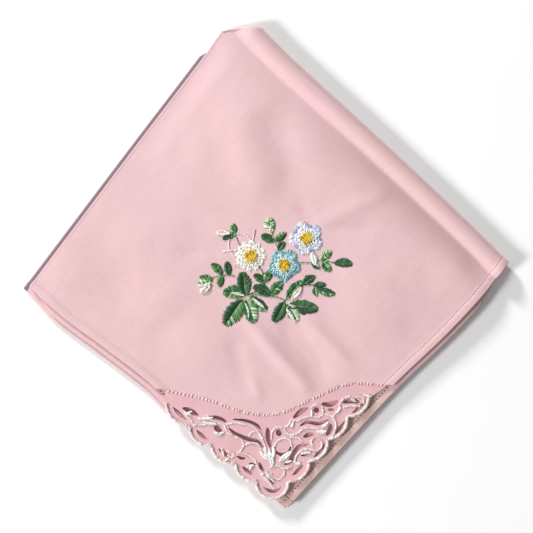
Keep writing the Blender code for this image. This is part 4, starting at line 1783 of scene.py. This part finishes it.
def area_light(name, power, size, azimuth, elevation, distance):
    """A square lamp that looks at the handkerchief from an azimuth and elevation."""
    data = bpy.data.lights.new(name, "AREA")
    data.energy = power
    data.size = size
    lamp = bpy.data.objects.new(name, data)
    flat_reach = distance * math.cos(elevation)
    lamp.location = (flat_reach * math.cos(azimuth), flat_reach * math.sin(azimuth),
                     distance * math.sin(elevation))
    lamp.rotation_euler = (-lamp.location).to_track_quat("-Z", "Y").to_euler()
    bpy.context.scene.collection.objects.link(lamp)
    return lamp


def make_stage():
    """Floor, soft lights and the camera straight above."""
    settings = bpy.context.scene.handkerchief_stage
    ground = bmesh.new()
    bmesh.ops.create_grid(ground, x_segments=1, y_segments=1, size=FLOOR_HALF_SIDE)
    mesh = bpy.data.meshes.new("floor")
    ground.to_mesh(mesh)
    ground.free()
    floor = bpy.data.objects.new("floor", mesh)
    bpy.context.scene.collection.objects.link(floor)
    mesh.materials.append(matte_finish("floor", tuple(settings.floor)))

    for name, power, size, azimuth, elevation in LAMPS:
        area_light(name, getattr(settings, power), size, VIEW_TURN + math.radians(azimuth),
                   math.radians(elevation), LAMP_DISTANCE)
    world = bpy.data.worlds.new("soft light")
    world.use_nodes = True
    world.node_tree.nodes["Background"].inputs["Color"].default_value = (1.0, 1.0, 1.0, 1.0)
    world.node_tree.nodes["Background"].inputs["Strength"].default_value = settings.fill_strength
    bpy.context.scene.world = world

    camera_data = bpy.data.cameras.new("camera")
    camera_data.lens = LENS
    camera_data.sensor_width = SENSOR
    camera = bpy.data.objects.new("camera", camera_data)
    distance = settings.view_width * LENS / SENSOR
    camera.location = VIEW_CENTRE + Vector((0.0, 0.0, distance + TOP_LEVEL * MM))
    camera.rotation_euler = (0.0, 0.0, VIEW_TURN)
    bpy.context.scene.collection.objects.link(camera)
    bpy.context.scene.camera = camera
    bpy.context.scene.view_settings.view_transform = "Standard"


# ---------------------------------------------------------------------------
# Operators and panel
# ---------------------------------------------------------------------------


class HANDKERCHIEF_OT_cloth(bpy.types.Operator):
    """Make the folded linen square"""

    bl_idname = "handkerchief.cloth"
    bl_label = "Folded cloth"

    def execute(self, context):
        make_cloth()
        return {"FINISHED"}


class HANDKERCHIEF_OT_hem(bpy.types.Operator):
    """Make the stitches along the hems"""

    bl_idname = "handkerchief.hem"
    bl_label = "Hem stitches"

    def execute(self, context):
        make_hem_stitches()
        return {"FINISHED"}


class HANDKERCHIEF_OT_lace(bpy.types.Operator):
    """Make the lace ground with its openings"""

    bl_idname = "handkerchief.lace"
    bl_label = "Lace ground"

    def execute(self, context):
        make_lace()
        return {"FINISHED"}


class HANDKERCHIEF_OT_lace_threads(bpy.types.Operator):
    """Make the lace's corded edge, scrolls and satin leaves"""

    bl_idname = "handkerchief.lace_threads"
    bl_label = "Lace threads"

    def execute(self, context):
        make_lace_threads()
        return {"FINISHED"}


class HANDKERCHIEF_OT_seam(bpy.types.Operator):
    """Make the pin stitch that joins the lace to the cloth"""

    bl_idname = "handkerchief.seam"
    bl_label = "Lace seam"

    def execute(self, context):
        make_seam_stitches()
        return {"FINISHED"}


class HANDKERCHIEF_OT_leaves(bpy.types.Operator):
    """Embroider the leaves, buds and stems"""

    bl_idname = "handkerchief.leaves"
    bl_label = "Embroidered leaves"

    def execute(self, context):
        make_leaves(lookup(bpy.data.objects["linen_square"]))
        return {"FINISHED"}


class HANDKERCHIEF_OT_flowers(bpy.types.Operator):
    """Embroider the three flowers"""

    bl_idname = "handkerchief.flowers"
    bl_label = "Embroidered flowers"

    def execute(self, context):
        make_flowers(lookup(bpy.data.objects["linen_square"]))
        return {"FINISHED"}


class HANDKERCHIEF_OT_stage(bpy.types.Operator):
    """Make the floor, the lights and the camera"""

    bl_idname = "handkerchief.stage"
    bl_label = "Stage"

    def execute(self, context):
        make_stage()
        return {"FINISHED"}


STEPS = (
    HANDKERCHIEF_OT_cloth,
    HANDKERCHIEF_OT_hem,
    HANDKERCHIEF_OT_lace,
    HANDKERCHIEF_OT_lace_threads,
    HANDKERCHIEF_OT_seam,
    HANDKERCHIEF_OT_leaves,
    HANDKERCHIEF_OT_flowers,
    HANDKERCHIEF_OT_stage,
)
GROUPS = (
    ("handkerchief_cloth", ClothSettings),
    ("handkerchief_lace", LaceSettings),
    ("handkerchief_embroidery", EmbroiderySettings),
    ("handkerchief_stage", StageSettings),
)


class HANDKERCHIEF_PT_panel(bpy.types.Panel):
    """Lists the steps and the settings"""

    bl_idname = "HANDKERCHIEF_PT_panel"
    bl_label = "Handkerchief"
    bl_space_type = "VIEW_3D"
    bl_region_type = "UI"
    bl_category = "Handkerchief"

    def draw(self, context):
        for name, group in GROUPS:
            box = self.layout.box()
            box.label(text=group.__doc__)
            for key in group.__annotations__:
                box.prop(getattr(context.scene, name), key)
        for step in STEPS:
            self.layout.operator(step.bl_idname)


def register():
    for name, group in GROUPS:
        bpy.utils.register_class(group)
        setattr(bpy.types.Scene, name, PointerProperty(type=group))
    for step in STEPS:
        bpy.utils.register_class(step)
    bpy.utils.register_class(HANDKERCHIEF_PT_panel)


def unregister():
    bpy.utils.unregister_class(HANDKERCHIEF_PT_panel)
    for step in reversed(STEPS):
        bpy.utils.unregister_class(step)
    for name, group in reversed(GROUPS):
        delattr(bpy.types.Scene, name)
        bpy.utils.unregister_class(group)


def main():
    register()
    for step in STEPS:
        family, name = step.bl_idname.split(".")
        getattr(getattr(bpy.ops, family), name)()


if __name__ == "__main__":
    main()
